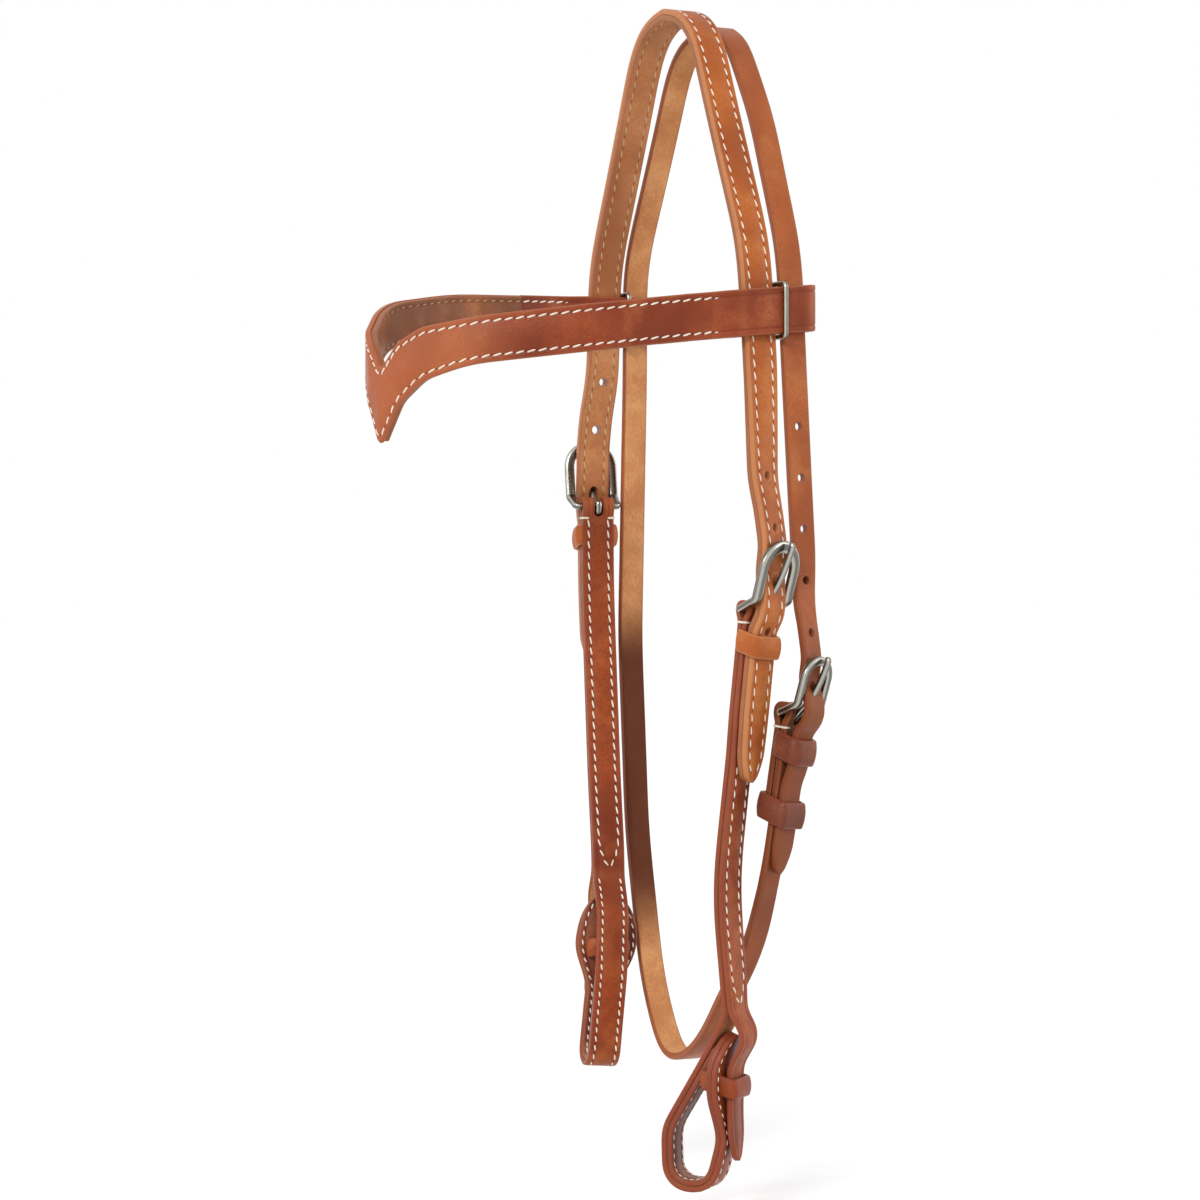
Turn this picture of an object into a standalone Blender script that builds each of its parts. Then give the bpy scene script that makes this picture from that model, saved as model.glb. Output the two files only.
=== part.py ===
"""Western bridle: crown strap, throatlatch, two cheek straps with bit loops, browband and their metal.

World frame: +X the horse's near (left) side, -Y forward, +Z up, metres.
The origin is the poll rest, the underside of the crown strap's crest.
"""

import math

import bmesh
import bpy
from mathutils import Matrix, Vector

for old in list(bpy.data.objects):
    bpy.data.objects.remove(old, do_unlink=True)

MM = 0.001
DEG = math.pi / 180

# leather
CROWN_WIDTH = 15.9 * MM
THROAT_WIDTH = 12.7 * MM
BROW_WIDTH = 21.5 * MM
BROW_POINT_WIDTH = 34.5 * MM
LAYER = 2.5 * MM
THROAT_THICK = 3.4 * MM
KEEPER_THICK = 1.8 * MM
GAP = 0.3 * MM
LINER_INSET = 0.6 * MM
HALF_PAIR = (LAYER + GAP) / 2
KEEPER_CORNER = 1.6 * MM
KEEPER_ROUND = 2.2 * MM
BIT_KEEPER_CORNER = 1.1 * MM

# metal
BAR_RADIUS = 1.5 * MM
RAIL_WIDTH = 4.6 * MM
RAIL_THICK = 2.6 * MM
TONGUE_RADIUS = 1.25 * MM
TONGUE_TIP_RADIUS = 0.9 * MM
RING_RADIUS = 1.2 * MM
RING_CORNER = 2.2 * MM
BAR_CORNER = 2.0 * MM
KNEE_CORNER = 3.0 * MM

# drawing steps of the curves
TURN_STEP = 14 * DEG
STRAIGHT_STEP = 26 * MM
ROUND_SIDES = 10
OVAL_STEP = 4 * MM
HOLE_SIDES = 12
CURL_STEPS = 9
MERGE = 0.01 * MM
POINT = 15 * MM
HALF_RUN = 0.49
ROUND_SHARE = 0.97
TIP_SHARE = 0.35
THROUGH = 4

# bends of the leather along its length
WIDE_BEND = 28.0 * MM
BEND = 10.0 * MM
CLOSE_BEND = 7.0 * MM
FOLD_BEND = 6.0 * MM
JUST_PAST = 1.0 * MM

# how far the straps hang: heights below the poll, widths and reach of the head inside the bridle
HEAD_HALF = 77.0 * MM
POLL_TO_NEAR_BAR = 279.5 * MM
POLL_TO_OFF_BAR = 228.5 * MM
REACH = 100.0 * MM
CREST_Z = GAP + LAYER + GAP / 2


def rounded(corners):
    """A path of straight runs with an arc of the given radius at every inner corner."""
    out = [Vector(corners[0][0])]
    last = len(corners) - 3
    for place, (before, here, after) in enumerate(zip(corners, corners[1:], corners[2:])):
        p = Vector(here[0])
        a, b = Vector(before[0]) - p, Vector(after[0]) - p
        room = min(a.length * (HALF_RUN if place else 2 * HALF_RUN),
                   b.length * (HALF_RUN if place < last else 2 * HALF_RUN))
        a.normalize()
        b.normalize()
        bend = math.pi - a.angle(b)
        if bend < DEG:
            out.append(p)
            continue
        reach = min(here[1] * math.tan(bend / 2), room)
        centre = p + (a + b).normalized() * math.hypot(reach / math.tan(bend / 2), reach)
        start, end = p + a * reach, p + b * reach
        steps = max(2, math.ceil(bend / TURN_STEP))
        u, v = start - centre, end - centre
        for i in range(steps + 1):
            t = i / steps
            mix = (math.sin((1 - t) * bend) * u + math.sin(t * bend) * v) / math.sin(bend) \
                if bend < math.pi - DEG else u.lerp(v, t)
            out.append(centre + mix)
    out.append(Vector(corners[-1][0]))
    return out


class Line:
    """A strap's resting line on the head: a place along it, across it and off its face."""

    def __init__(self, corners, turns, side, loop=False, upright=False):
        self.points = rounded(corners)
        self.at = [0.0]
        for a, b in zip(self.points, self.points[1:]):
            self.at.append(self.at[-1] + (b - a).length)
        self.turns = turns
        self.side = side
        self.length = self.at[-1]
        self.loop = loop
        self.upright = upright

    def spot(self, u):
        """Point and heading at a distance u along the line."""
        if self.loop:
            u = u % self.length
        i = 0
        while i < len(self.at) - 2 and self.at[i + 1] < u:
            i += 1
        run = self.points[i + 1] - self.points[i]
        heading = run.normalized()
        p = self.points[i] + heading * (u - self.at[i])
        span = self.at[i + 1] - self.at[i]
        share = min(max((u - self.at[i]) / span, 0), 1)
        last = len(self.points) - 2
        before = (self.points[i] - self.points[i - 1]).normalized() if i else heading
        after = (self.points[i + 2] - self.points[i + 1]).normalized() if i < last else heading
        smooth = (before + heading).lerp(heading + after, share).normalized()
        return p, smooth

    def turn(self, u):
        """How far the face has turned to the back at u."""
        if self.loop:
            u = u % self.length
        rows = self.turns
        if u <= rows[0][0]:
            return rows[0][1]
        for (u0, t0), (u1, t1) in zip(rows, rows[1:]):
            if u <= u1:
                return t0 + (t1 - t0) * (u - u0) / (u1 - u0)
        return rows[-1][1]

    def frame(self, u):
        p, heading = self.spot(u)
        turn = self.turn(u)
        across = Vector((-math.sin(turn) * self.side, math.cos(turn), 0))
        if self.upright:
            across = Vector((0, 0, 1))
            return p, heading, across, heading.cross(across).normalized() * self.side
        across = (across - heading * across.dot(heading)).normalized()
        return p, heading, across, heading.cross(across) * self.side

    def put(self, u, w, n):
        p, heading, across, off = self.frame(u)
        return p + across * w + off * n

    def where(self, height):
        """Distance along the line where it first comes down to a height."""
        for i in range(len(self.points) - 1):
            a, b = self.points[i].z, self.points[i + 1].z
            if a >= height > b:
                return self.at[i] + (a - height) / (a - b) * (self.at[i + 1] - self.at[i])
        return self.length


def flat(corners):
    """A path in a strap's own plane: distance along, distance off the face."""
    return rounded([((u, n, 0), r) for u, n, r in corners])


def shifted(path, by):
    """The same path moved sideways, for a second layer."""
    out = []
    for i, p in enumerate(path):
        a = (p - path[i - 1]).normalized() if i else None
        b = (path[i + 1] - p).normalized() if i < len(path) - 1 else None
        a, b = a or b, b or a
        mid = (a + b).normalized()
        side = Vector((-mid.y, mid.x, 0))
        out.append(p + side * by / max(mid.dot(a), 0.5))
    return out


def stepped(path, fine=0):
    """Long runs cut into steps, shorter at the tips and over a last stretch where the width changes."""
    out = [path[0]]
    total = sum((b - a).length for a, b in zip(path, path[1:]))
    gone = 0
    for a, b in zip(path, path[1:]):
        gone += (b - a).length
        short = min(gone, total - gone + (b - a).length) < POINT + MM or total - gone < fine
        count = max(1, math.ceil((b - a).length / (OVAL_STEP if short else STRAIGHT_STEP)))
        out += [a.lerp(b, (i + 1) / count) for i in range(count)]
    return out


def lengths(path):
    out = [0.0]
    for a, b in zip(path, path[1:]):
        out.append(out[-1] + (b - a).length)
    return out


parts = bpy.data.collections.new("western_bridle")
bpy.context.scene.collection.children.link(parts)
cutters = bpy.data.collections.new("cutters")
bpy.context.scene.collection.children.link(cutters)


def material(name, colour, metallic, roughness):
    made = bpy.data.materials.new(name)
    made.use_nodes = True
    shader = made.node_tree.nodes["Principled BSDF"]
    shader.inputs["Base Color"].default_value = (*colour, 1)
    shader.inputs["Metallic"].default_value = metallic
    shader.inputs["Roughness"].default_value = roughness
    return made


LEATHER = ((0.33, 0.09, 0.035), 0.0, 0.5)
FLESH = ((0.52, 0.24, 0.1), 0.0, 0.8)
STEEL = ((0.55, 0.53, 0.5), 1.0, 0.3)
THREAD = ((0.82, 0.74, 0.6), 0.0, 0.8)


def finish_mesh(bm, name, look, smooth=False):
    bmesh.ops.recalc_face_normals(bm, faces=bm.faces)
    if bm.calc_volume(signed=True) < 0:
        bmesh.ops.reverse_faces(bm, faces=bm.faces)
    mesh = bpy.data.meshes.new(name)
    bm.to_mesh(mesh)
    bm.free()
    made = bpy.data.objects.new(name, mesh)
    parts.objects.link(made)
    mesh.materials.append(material(name, *look))
    for face in mesh.polygons:
        face.use_smooth = smooth
    return made


def seat(made, origin):
    """Put the piece's own origin at a place, such as its joint, with its shape left where it is."""
    made.data.transform(Matrix.Translation(-origin))
    made.location = origin
    return made


def hang(made, parent):
    """Let a piece ride on another."""
    made.location = made.location - parent.location
    made.parent = parent


def sheet(columns, rows, place):
    """A grid bent into shape: place(i, j) gives the point of column i, row j."""
    bm = bmesh.new()
    bmesh.ops.create_grid(bm, x_segments=columns, y_segments=rows, size=0.5)
    for v in bm.verts:
        i = round((v.co.x + 0.5) * columns)
        j = round((v.co.y + 0.5) * rows)
        v.co = place(i, j)
    return bm


def thicken(made, thick):
    """Give a surface its thickness, half to either side."""
    wall = made.modifiers.new("thickness", "SOLIDIFY")
    wall.thickness = thick
    wall.offset = 0
    wall.use_even_offset = True
    return made


def strap(name, line, path, half_width, thick, look=LEATHER, fine=0):
    """A strip of leather along a path; half_width(s) is its half width at s along it."""
    path = stepped(path, fine)
    run = lengths(path)

    def place(i, j):
        p = path[j]
        w = half_width(run[j], run[-1]) * (2 * i - 1)
        return line.put(p.x, w, p.y)

    return thicken(finish_mesh(sheet(1, len(path) - 1, place), name, look), thick)


def tip_share(t):
    """Share of the full width at a share t of the way in from a rounded tip."""
    return TIP_SHARE + (1 - TIP_SHARE) * math.sin(t * math.pi / 2)


def tapered(width, start, end):
    """Even width with a rounded point at either end: start and end are the tip lengths."""
    def half(s, total):
        share = 1.0
        if start and s < start:
            share = min(share, tip_share(s / start))
        if end and total - s < end:
            share = min(share, tip_share((total - s) / end))
        return share * width / 2
    return half


def tube(name, path, closed, look=STEEL):
    """A rod along a path of (place, out, up): out and up are its half sizes with their directions."""
    count = len(path)

    def place(i, j):
        j = j % count
        p, out, up = path[j]
        angle = 2 * math.pi * (i % ROUND_SIDES) / ROUND_SIDES
        return p + out * math.cos(angle) + up * math.sin(angle)

    bm = sheet(ROUND_SIDES, count if closed else count - 1, place)
    bmesh.ops.remove_doubles(bm, verts=bm.verts, dist=MERGE)
    if not closed:
        bmesh.ops.holes_fill(bm, edges=[e for e in bm.edges if e.is_boundary], sides=0)
    return finish_mesh(bm, name, look, smooth=True)


def cut(target, cutter):
    """Take the cutter out of the target."""
    for old in list(cutter.users_collection):
        old.objects.unlink(cutter)
    cutters.objects.link(cutter)
    cutter.hide_render = True
    cutter.display_type = "WIRE"
    tool = target.modifiers.new("cut", "BOOLEAN")
    tool.operation = "DIFFERENCE"
    tool.solver = "EXACT"
    tool.object = cutter


def block(name, centre, axes, sizes):
    """A box cutter with its own axes."""
    bm = bmesh.new()
    bmesh.ops.create_cube(bm, size=1)
    for v in bm.verts:
        v.co = centre + sum((axes[k] * (v.co[k] * sizes[k]) for k in range(3)), Vector((0, 0, 0)))
    return finish_mesh(bm, name, LEATHER)


def pin(name, start, end, radius):
    """A round cutter between two places."""
    bm = bmesh.new()
    bmesh.ops.create_cone(bm, cap_ends=True, segments=HOLE_SIDES, radius1=radius, radius2=radius,
                          depth=(end - start).length)
    turn = Vector((0, 0, 1)).rotation_difference(end - start).to_matrix()
    for v in bm.verts:
        v.co = (start + end) / 2 + turn @ v.co
    return finish_mesh(bm, name, LEATHER)


# resting lines
# rows: out, back and drop as shares of HEAD_HALF, REACH and POLL_TO_NEAR_BAR
# CORNER_SHARES: the corner radii as shares of HEAD_HALF
NEAR_SHARES = ((0, 0, 0), (0.285, 0, 0), (0.935, 0, 0.4131), (1.0, 0.01, 0.6153), (1.03, 0.01, 0.8422),
               (0.965, -0.06, 1.1677), (0.82, -0.09, 1.4636), (0.80, -0.03, 1.6708),
               (0.79, -0.03, 2.0456))
OFF_SHARES = ((0, 0, 0), (0.285, 0, 0), (0.935, 0, 0.4131), (0.99, 0.01, 0.5956), (1.0, -0.02, 0.6844),
              (1.0, -0.015, 0.9753), (0.91, -0.015, 1.3058), (0.86, -0.01, 1.4735),
              (0.9, -0.09, 1.8878))
CORNER_SHARES = (0, 0.416, 0.78, 1.3, 2.6, 2.6, 2.08, 1.56, 0)
# rows: height below the poll as a share of POLL_TO_NEAR_BAR, turn of the face to the back
NEAR_TURNS = ((0.2109, 0), (0.6054, 4 * DEG), (0.8422, 22 * DEG), (1.1776, 22 * DEG),
              (1.2466, 28 * DEG), (1.3946, 27 * DEG), (1.5129, 25 * DEG), (1.6313, 28 * DEG),
              (1.7299, 37 * DEG), (1.8878, 40 * DEG))
OFF_TURNS = ((0.2109, 0), (0.5758, 2 * DEG), (0.7041, 13 * DEG), (0.9753, 14 * DEG), (1.0986, 15 * DEG),
             (1.4932, 14 * DEG), (1.7891, 12 * DEG))


def side_line(shares, turns, side):
    corners = [((side * out * HEAD_HALF, back * REACH, CREST_Z - drop * POLL_TO_NEAR_BAR),
                corner * HEAD_HALF) for (out, back, drop), corner in zip(shares, CORNER_SHARES)]
    plain = Line(corners, ((0, 0),), side)
    spots = [(plain.where(CREST_Z - drop * POLL_TO_NEAR_BAR), turn) for drop, turn in turns]
    return Line(corners, spots, side)


near_line = side_line(NEAR_SHARES, NEAR_TURNS, 1)
off_line = side_line(OFF_SHARES, OFF_TURNS, -1)


class OverPoll:
    """Both side lines as one: the near side counts up from the crest, the off side down."""

    def put(self, u, w, n):
        if u >= 0:
            return near_line.put(u, w, n)
        return off_line.put(-u, w, n)


over_poll = OverPoll()
NEAR_BAR = near_line.where(-POLL_TO_NEAR_BAR)
OFF_BAR = off_line.where(-POLL_TO_OFF_BAR)

# how a billet passes its buckle
# distances up the strap from the bar, and outward off the strap's middle
FRAME_RISE = 30.0 * MM
FRAME_LEAN = 14.0 * MM
FRAME_SLACK = 0.4 * MM
OVER_BAR = 2.4 * MM
KNEE_UP = 5.0 * MM
KNEE_OUT = 10.0 * MM
NARROW_SHARE = 0.62
KEEPER_SLACK = 0.4 * MM
KEEPER_DROP = 10.0 * MM
KEEPER_TALL = 12.0 * MM
SNUG_KEEPER_TALL = 10.4 * MM
SLIDE_UP = 6.0 * MM
THROAT_LOOSE = 2.4 * MM
BILLET_TIP = 78.0 * MM
EASE_SHARE = 1.8
LOOSE_SHARE = 1.6
PAST_BAR = 2.0 * MM
ABOVE_KEEPER = 1.0 * MM
PAST_KEEPER = 3.0 * MM
CROWN_THICK = 2 * LAYER + GAP


def billet_path(bar, tip, thick, leg, rise, lean, keeper_top, keeper_end, loose=0):
    """From above the bar to the tip: inside the frame top, out over the fold, through the keeper."""
    half = thick / 2
    up = NARROW_SHARE * rise
    under = (KNEE_OUT + (lean - KNEE_OUT) * (up - KNEE_UP) / (rise - KNEE_UP)
             - RAIL_THICK / 2 - GAP - FRAME_SLACK - half)
    over_fold = BAR_RADIUS + 2 * GAP + leg + half + OVER_BAR + LOOSE_SHARE * loose
    in_keeper = GAP + leg + GAP + half + KEEPER_SLACK
    return [
        (bar - EASE_SHARE * rise, 0, WIDE_BEND),
        (bar - rise, under, BEND),
        (bar - up, under, BEND),
        (bar - KNEE_UP, over_fold, BEND),
        (bar + PAST_BAR, over_fold, BEND),
        (bar + keeper_top - ABOVE_KEEPER, in_keeper + loose, CLOSE_BEND),
        (bar + keeper_top + KEEPER_TALL + PAST_BAR, in_keeper + loose, BEND),
        (bar + keeper_end - KEEPER_TALL - SLIDE_UP, in_keeper, BEND),
        (bar + keeper_end + PAST_KEEPER, in_keeper, WIDE_BEND),
        (bar + tip, in_keeper - GAP, 0),
    ]


def with_places(path, places):
    """Extra places where the resting line itself bends, so a strap lies along it."""
    out = []
    for a, b in zip(path, path[1:]):
        out.append(a)
        low, high = min(a.x, b.x), max(a.x, b.x)
        inside = sorted(u for u in places if low + MM < u < high - MM)
        if b.x < a.x:
            inside.reverse()
        for u in inside:
            if abs(u - out[-1].x) > MM:
                out.append(a.lerp(b, (u - a.x) / (b.x - a.x)))
    out.append(path[-1])
    return out


# crown strap
down_near, down_off = [billet_path(bar, BILLET_TIP, CROWN_THICK, LAYER, FRAME_RISE, FRAME_LEAN,
                                   KEEPER_DROP, KEEPER_DROP + 3 * KEEPER_TALL)
                       for bar in (NEAR_BAR, OFF_BAR)]
crown_path = flat([(-u, n, r) for u, n, r in reversed(down_off)] + down_near)
crown_path = with_places(crown_path, [-u for u in off_line.at] + list(near_line.at[1:]))
crown_outer = strap("crown_outer", over_poll, shifted(crown_path, HALF_PAIR),
                    tapered(CROWN_WIDTH, POINT, POINT), LAYER)
crown_liner = strap("crown_liner", over_poll, shifted(crown_path, -HALF_PAIR),
                    tapered(CROWN_WIDTH, POINT, POINT), LAYER, FLESH)


# buckles, keepers and lashings
SLOT_DOWN = 5.0 * MM
TIP_OVER = 1.5 * MM
TONGUE_PLAY = 0.7 * MM
LASHING_DROP = 5.8 * MM
LASHING_RADIUS = 0.6 * MM
LASHING_CORNER = 1.2 * MM
CURL_END = 5.2
HOLE_FROM_SHARE = 0.12
HOLE_PAST = 4.0 * MM
SWELL_FROM_SHARE = 0.25
SWELL_TO_SHARE = 0.75


def place_of(line, bar):
    """Fixed axes at a buckle bar: up the strap, across it and off its face."""
    p, heading, across, off = line.frame(bar)
    return p, -heading, across, off


def ring_path(corners):
    """A closed rounded path in a plane of its own, started in the middle of its first side."""
    first, last = Vector(corners[0][0]), Vector(corners[-1][0])
    start = (first + last) / 2
    return rounded([(start, 0)] + list(corners) + [(start, 0)])[:-1]


def buckle(name, line, bar, strap_width, rise, lean, rail):
    """Frame and tongue of one buckle, hung on the strap's fold."""
    p, up, across, off = place_of(line, bar)
    e = strap_width / 2 + 1.5 * GAP + rail / 2
    crown = e * ROUND_SHARE
    knee, out = KNEE_UP, KNEE_OUT

    def to_world(v):
        return across * v.x + up * v.y + off * v.z

    def lift(v):
        """How far the frame stands off the bar at a height v up it."""
        if v < knee:
            return out * v / knee
        return out + (lean - out) * (v - knee) / (rise - knee)

    path = ring_path([((-e, 0, 0), BAR_CORNER), ((-e, knee, out), KNEE_CORNER),
                      ((-e, rise, lean), crown), ((e, rise, lean), crown),
                      ((e, knee, out), KNEE_CORNER), ((e, 0, 0), BAR_CORNER)])
    count = len(path)
    rows = []
    for i, q in enumerate(path):
        run = (path[(i + 1) % count] - path[i - 1]).normalized()
        slope = (lift(q.y + knee / 2) - lift(q.y - knee / 2)) / knee
        face = Vector((0, -slope, 1)).normalized()
        side = run.cross(face).normalized()
        face = side.cross(run)
        share = (q.z / out - SWELL_FROM_SHARE) / (SWELL_TO_SHARE - SWELL_FROM_SHARE)
        share = min(max(share, 0), 1)
        half_in = BAR_RADIUS + (rail / 2 - BAR_RADIUS) * share
        half_off = BAR_RADIUS + (RAIL_THICK / 2 - BAR_RADIUS) * share
        rows.append((p + to_world(q), to_world(side) * half_in, to_world(face) * half_off))
    frame = seat(tube(name + "_frame", rows, True), p)

    curl = BAR_RADIUS + GAP + TONGUE_RADIUS
    rest = lean + RAIL_THICK / 2 + GAP + TONGUE_TIP_RADIUS
    tip = Vector((0, rise + TIP_OVER, rest + (TIP_OVER + rail / 2) * rest / rise))
    away = math.atan2(tip.z, tip.y)
    leave = away + math.acos(curl / math.hypot(tip.y, tip.z))
    turns = [leave + i * (CURL_END - leave) / CURL_STEPS for i in range(CURL_STEPS + 1)]
    line_of = [tip] + [Vector((0, curl * math.cos(t), curl * math.sin(t))) for t in turns]
    line_of.insert(1, tip.lerp(line_of[1], 0.5))
    rows = []
    for i, q in enumerate(line_of):
        run = (line_of[min(i + 1, len(line_of) - 1)] - line_of[max(i - 1, 0)]).normalized()
        size = TONGUE_TIP_RADIUS if i == 0 else TONGUE_RADIUS
        face = Vector((1, 0, 0))
        side = run.cross(face).normalized()
        rows.append((p + to_world(q), to_world(face) * size, to_world(side) * size))
    hang(seat(tube(name + "_tongue", rows, False), p), frame)
    near_end = line_of[2].lerp(tip, HOLE_FROM_SHARE)
    far_end = tip + (tip - line_of[2]).normalized() * HOLE_PAST
    return p + to_world(near_end), p + to_world(far_end)


def band(name, line, top, tall, path, closed):
    """A keeper: a band of leather round a strap; path gives its places across and off the face."""
    count = len(path)

    def place(i, j):
        q = path[j % count]
        return line.put(top + tall * i, q.x, q.y)

    bm = sheet(1, count if closed else count - 1, place)
    bmesh.ops.remove_doubles(bm, verts=bm.verts, dist=MERGE)
    return seat(thicken(finish_mesh(bm, name, LEATHER), KEEPER_THICK), line.spot(top)[0])


def tucked_keeper(name, line, top, tall, half_across, over, cheek):
    """A keeper whose two ends are sewn between the two layers of the strap it sits on."""
    side = half_across + GAP + KEEPER_THICK / 2
    path = rounded([((-GAP, 0, 0), 0), ((-side, 0, 0), KEEPER_CORNER),
                    ((-side, over, 0), KEEPER_ROUND), ((side, over, 0), KEEPER_ROUND),
                    ((side, 0, 0), KEEPER_CORNER), ((GAP, 0, 0), 0)])
    band(name, line, top, tall, path, False)
    p, heading, across, off = line.frame(top + tall / 2)
    recess = block(name + "_recess", p, (heading, across, off),
                   (tall + 2 * GAP, THROUGH * side, KEEPER_THICK + 2 * GAP))
    cut(cheek, recess)


def slot(name, line, bar, half_thick, target):
    """The long slot in a fold, for the tongue."""
    p, up, across, off = place_of(line, bar)
    reach = BAR_RADIUS + half_thick * THROUGH
    wide = 2 * (TONGUE_RADIUS + TONGUE_PLAY)
    centre = p + up * (reach - SLOT_DOWN) / 2
    cut(target, block(name + "_slot", centre, (up, across, off),
                      (reach + SLOT_DOWN, wide, 2 * reach)))


def wound_ring(name, line, at, half_across, half_off, radius, corner, look):
    """A closed ring of round section about a strap."""
    a, b = half_across + GAP + radius, half_off + GAP + radius
    path = ring_path([((-a, -b, 0), corner), ((-a, b, 0), corner), ((a, b, 0), corner),
                      ((a, -b, 0), corner)])
    rows = []
    p, heading, across, off = line.frame(at)
    for i, q in enumerate(path):
        run = (path[(i + 1) % len(path)] - path[i - 1]).normalized()
        out = across * -run.y + off * run.x
        rows.append((p + across * q.x + off * q.y, out * radius, heading * radius))
    return seat(tube(name, rows, True, look), p)


# cheek straps
CLOSE_BY = 5.0 * MM
TAIL_LENGTH = 70.0 * MM
TAB_BULGE = 8.0 * MM
TAB_DROP = 12.5 * MM
TAB_FOOT = 14.0 * MM
TAIL_MEETS = 14.0 * MM
LOOP_WIDTH = 34.0 * MM
LINER_START = 22.0 * MM
OVAL_HALF = 15.3 * MM
OVAL_TIP = 24.0 * MM
OVAL_END = 50.0 * MM
OVAL_LAST = 2.6 * MM
BIT_KEEPER_TALL = 9.3 * MM
BIT_KEEPER_SHARE = 0.405

# the bit loop, from the point where the stitching ends: rows of place along the line as a share of
# the loop's depth, then the leg's distance off the line and the corner's radius, shares of LOOP_WIDTH
NEAR_LOOP_SHARES = ((0.03, -0.05, 0.4), (0.23, -0.33, 0.6), (0.66, -0.96, 0.6),
                    (0.985, -0.93, 0.35), (0.985, -0.26, 0.35), (0.72, -0.085, 0.6),
                    (0.5, -0.14, 0.73), (0.3, -0.14, 0.6), (0.14, 0.01, 0))
OFF_LOOP_SHARES = ((0.03, -0.05, 0.4), (0.2, -0.39, 0.6), (0.5, -0.54, 0.9),
                   (0.985, -0.44, 0.24), (0.985, 0.06, 0.24), (0.66, -0.02, 0.9),
                   (0.48, -0.12, 0.73), (0.28, -0.12, 0.6), (0.12, 0.01, 0))


def swell(share):
    """Smooth swelling: one at share nought, nought at share one."""
    return (1 + math.cos(share * math.pi)) / 2


def oval(total):
    """Half width of the cheek strap: even, then swelling to the oval at the inner leg's end."""
    def half(s, total=total):
        left = total - s
        even_half = CROWN_WIDTH / 2
        if s < POINT:
            return even_half * tip_share(s / POINT)
        if left < OVAL_TIP:
            return max(OVAL_HALF * math.sqrt(max(1 - (1 - left / OVAL_TIP) ** 2, 0)), OVAL_LAST)
        if left < OVAL_END:
            share = (left - OVAL_TIP) / (OVAL_END - OVAL_TIP)
            return even_half + (OVAL_HALF - even_half) * swell(share)
        return even_half
    return half


def lining_half(s, total):
    """Half width of the bit loop's lining, a little inside the strap's edges."""
    left = total - s
    if left > OVAL_END:
        return CROWN_WIDTH / 2 - LINER_INSET
    return oval(total)(s) - LINER_INSET * min(left / OVAL_TIP, 1)


def cheek(side, line, bar, loop, seam_end, loop_deep, tail_out):
    """One cheek strap with its buckle, keepers, lashing and bit loop."""
    v = line.where(-seam_end)
    deep = line.where(-seam_end - loop_deep) - v
    fold = BAR_RADIUS + GAP + LAYER / 2
    keeper_at = v + BIT_KEEPER_SHARE * deep
    tail = [(v + TAIL_LENGTH, tail_out, 0), (keeper_at + TAIL_MEETS, 0, WIDE_BEND),
            (v + TAB_DROP + TAB_FOOT, 0, BEND), (v + TAB_DROP, TAB_BULGE, BEND),
            (v + JUST_PAST, HALF_PAIR, BEND), (bar + CLOSE_BY, HALF_PAIR, BEND),
            (bar + JUST_PAST, fold, FOLD_BEND), (bar - fold, fold, ROUND_SHARE * fold),
            (bar - fold, -fold, ROUND_SHARE * fold), (bar + JUST_PAST, -fold, FOLD_BEND),
            (bar + CLOSE_BY, -HALF_PAIR, BEND)]
    legs = [(v + share * deep, off * LOOP_WIDTH, r * LOOP_WIDTH) for share, off, r in loop]
    path = with_places(flat(tail + legs), line.at)
    total = lengths(path)[-1]
    body = strap(side + "_cheek_strap", line, path, oval(total), LAYER, fine=OVAL_END)
    inside = shifted(path, LAYER + GAP)
    fold_at = next(i for i, q in enumerate(path) if q.y < -fold / 2 and q.x > bar)
    first = next(i for i in range(fold_at, len(inside)) if inside[i].x > v + LINER_START)
    lining = strap(side + "_bit_liner", line, inside[first:], lining_half, LAYER, FLESH,
                   fine=OVAL_END)

    # the bit keeper, threaded through a slit either side of the oval
    leg_off = loop[-2][1] * LOOP_WIDTH
    low = leg_off - LAYER / 2 - GAP - LAYER - 2.5 * GAP - KEEPER_THICK / 2
    high = LAYER / 2 + 2 * GAP + KEEPER_THICK / 2
    across_at = CROWN_WIDTH / 2 + GAP + KEEPER_THICK / 2
    ring = ring_path([((-across_at, low, 0), BIT_KEEPER_CORNER),
                      ((-across_at, high, 0), KEEPER_CORNER), ((across_at, high, 0), KEEPER_CORNER),
                      ((across_at, low, 0), BIT_KEEPER_CORNER)])
    band(side + "_bit_keeper", line, keeper_at - BIT_KEEPER_TALL / 2, BIT_KEEPER_TALL, ring, True)
    for hand in (-1, 1):
        q, heading, across, off = line.frame(keeper_at)
        centre = line.put(keeper_at, hand * across_at, leg_off - LAYER / 2)
        sizes = (BIT_KEEPER_TALL + 2 * GAP, KEEPER_THICK + 2 * GAP, THROUGH * LAYER)
        for target in (body, lining):
            cut(target, block(side + "_slit", centre, (heading, across, off), sizes))

    over = GAP + LAYER + GAP + CROWN_THICK + 2 * KEEPER_SLACK + GAP + KEEPER_THICK / 2
    tucked_keeper(side + "_cheek_keeper", line, bar + KEEPER_DROP, SNUG_KEEPER_TALL,
                  CROWN_WIDTH / 2, over, body)
    slot(side, line, bar, LAYER / 2, body)
    wound_ring(side + "_bar_lashing", line, bar + LASHING_DROP, CROWN_WIDTH / 2,
               HALF_PAIR + LAYER / 2, LASHING_RADIUS, LASHING_CORNER, THREAD)
    return buckle(side + "_buckle", line, bar, CROWN_WIDTH, FRAME_RISE, FRAME_LEAN, RAIL_WIDTH)


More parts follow.
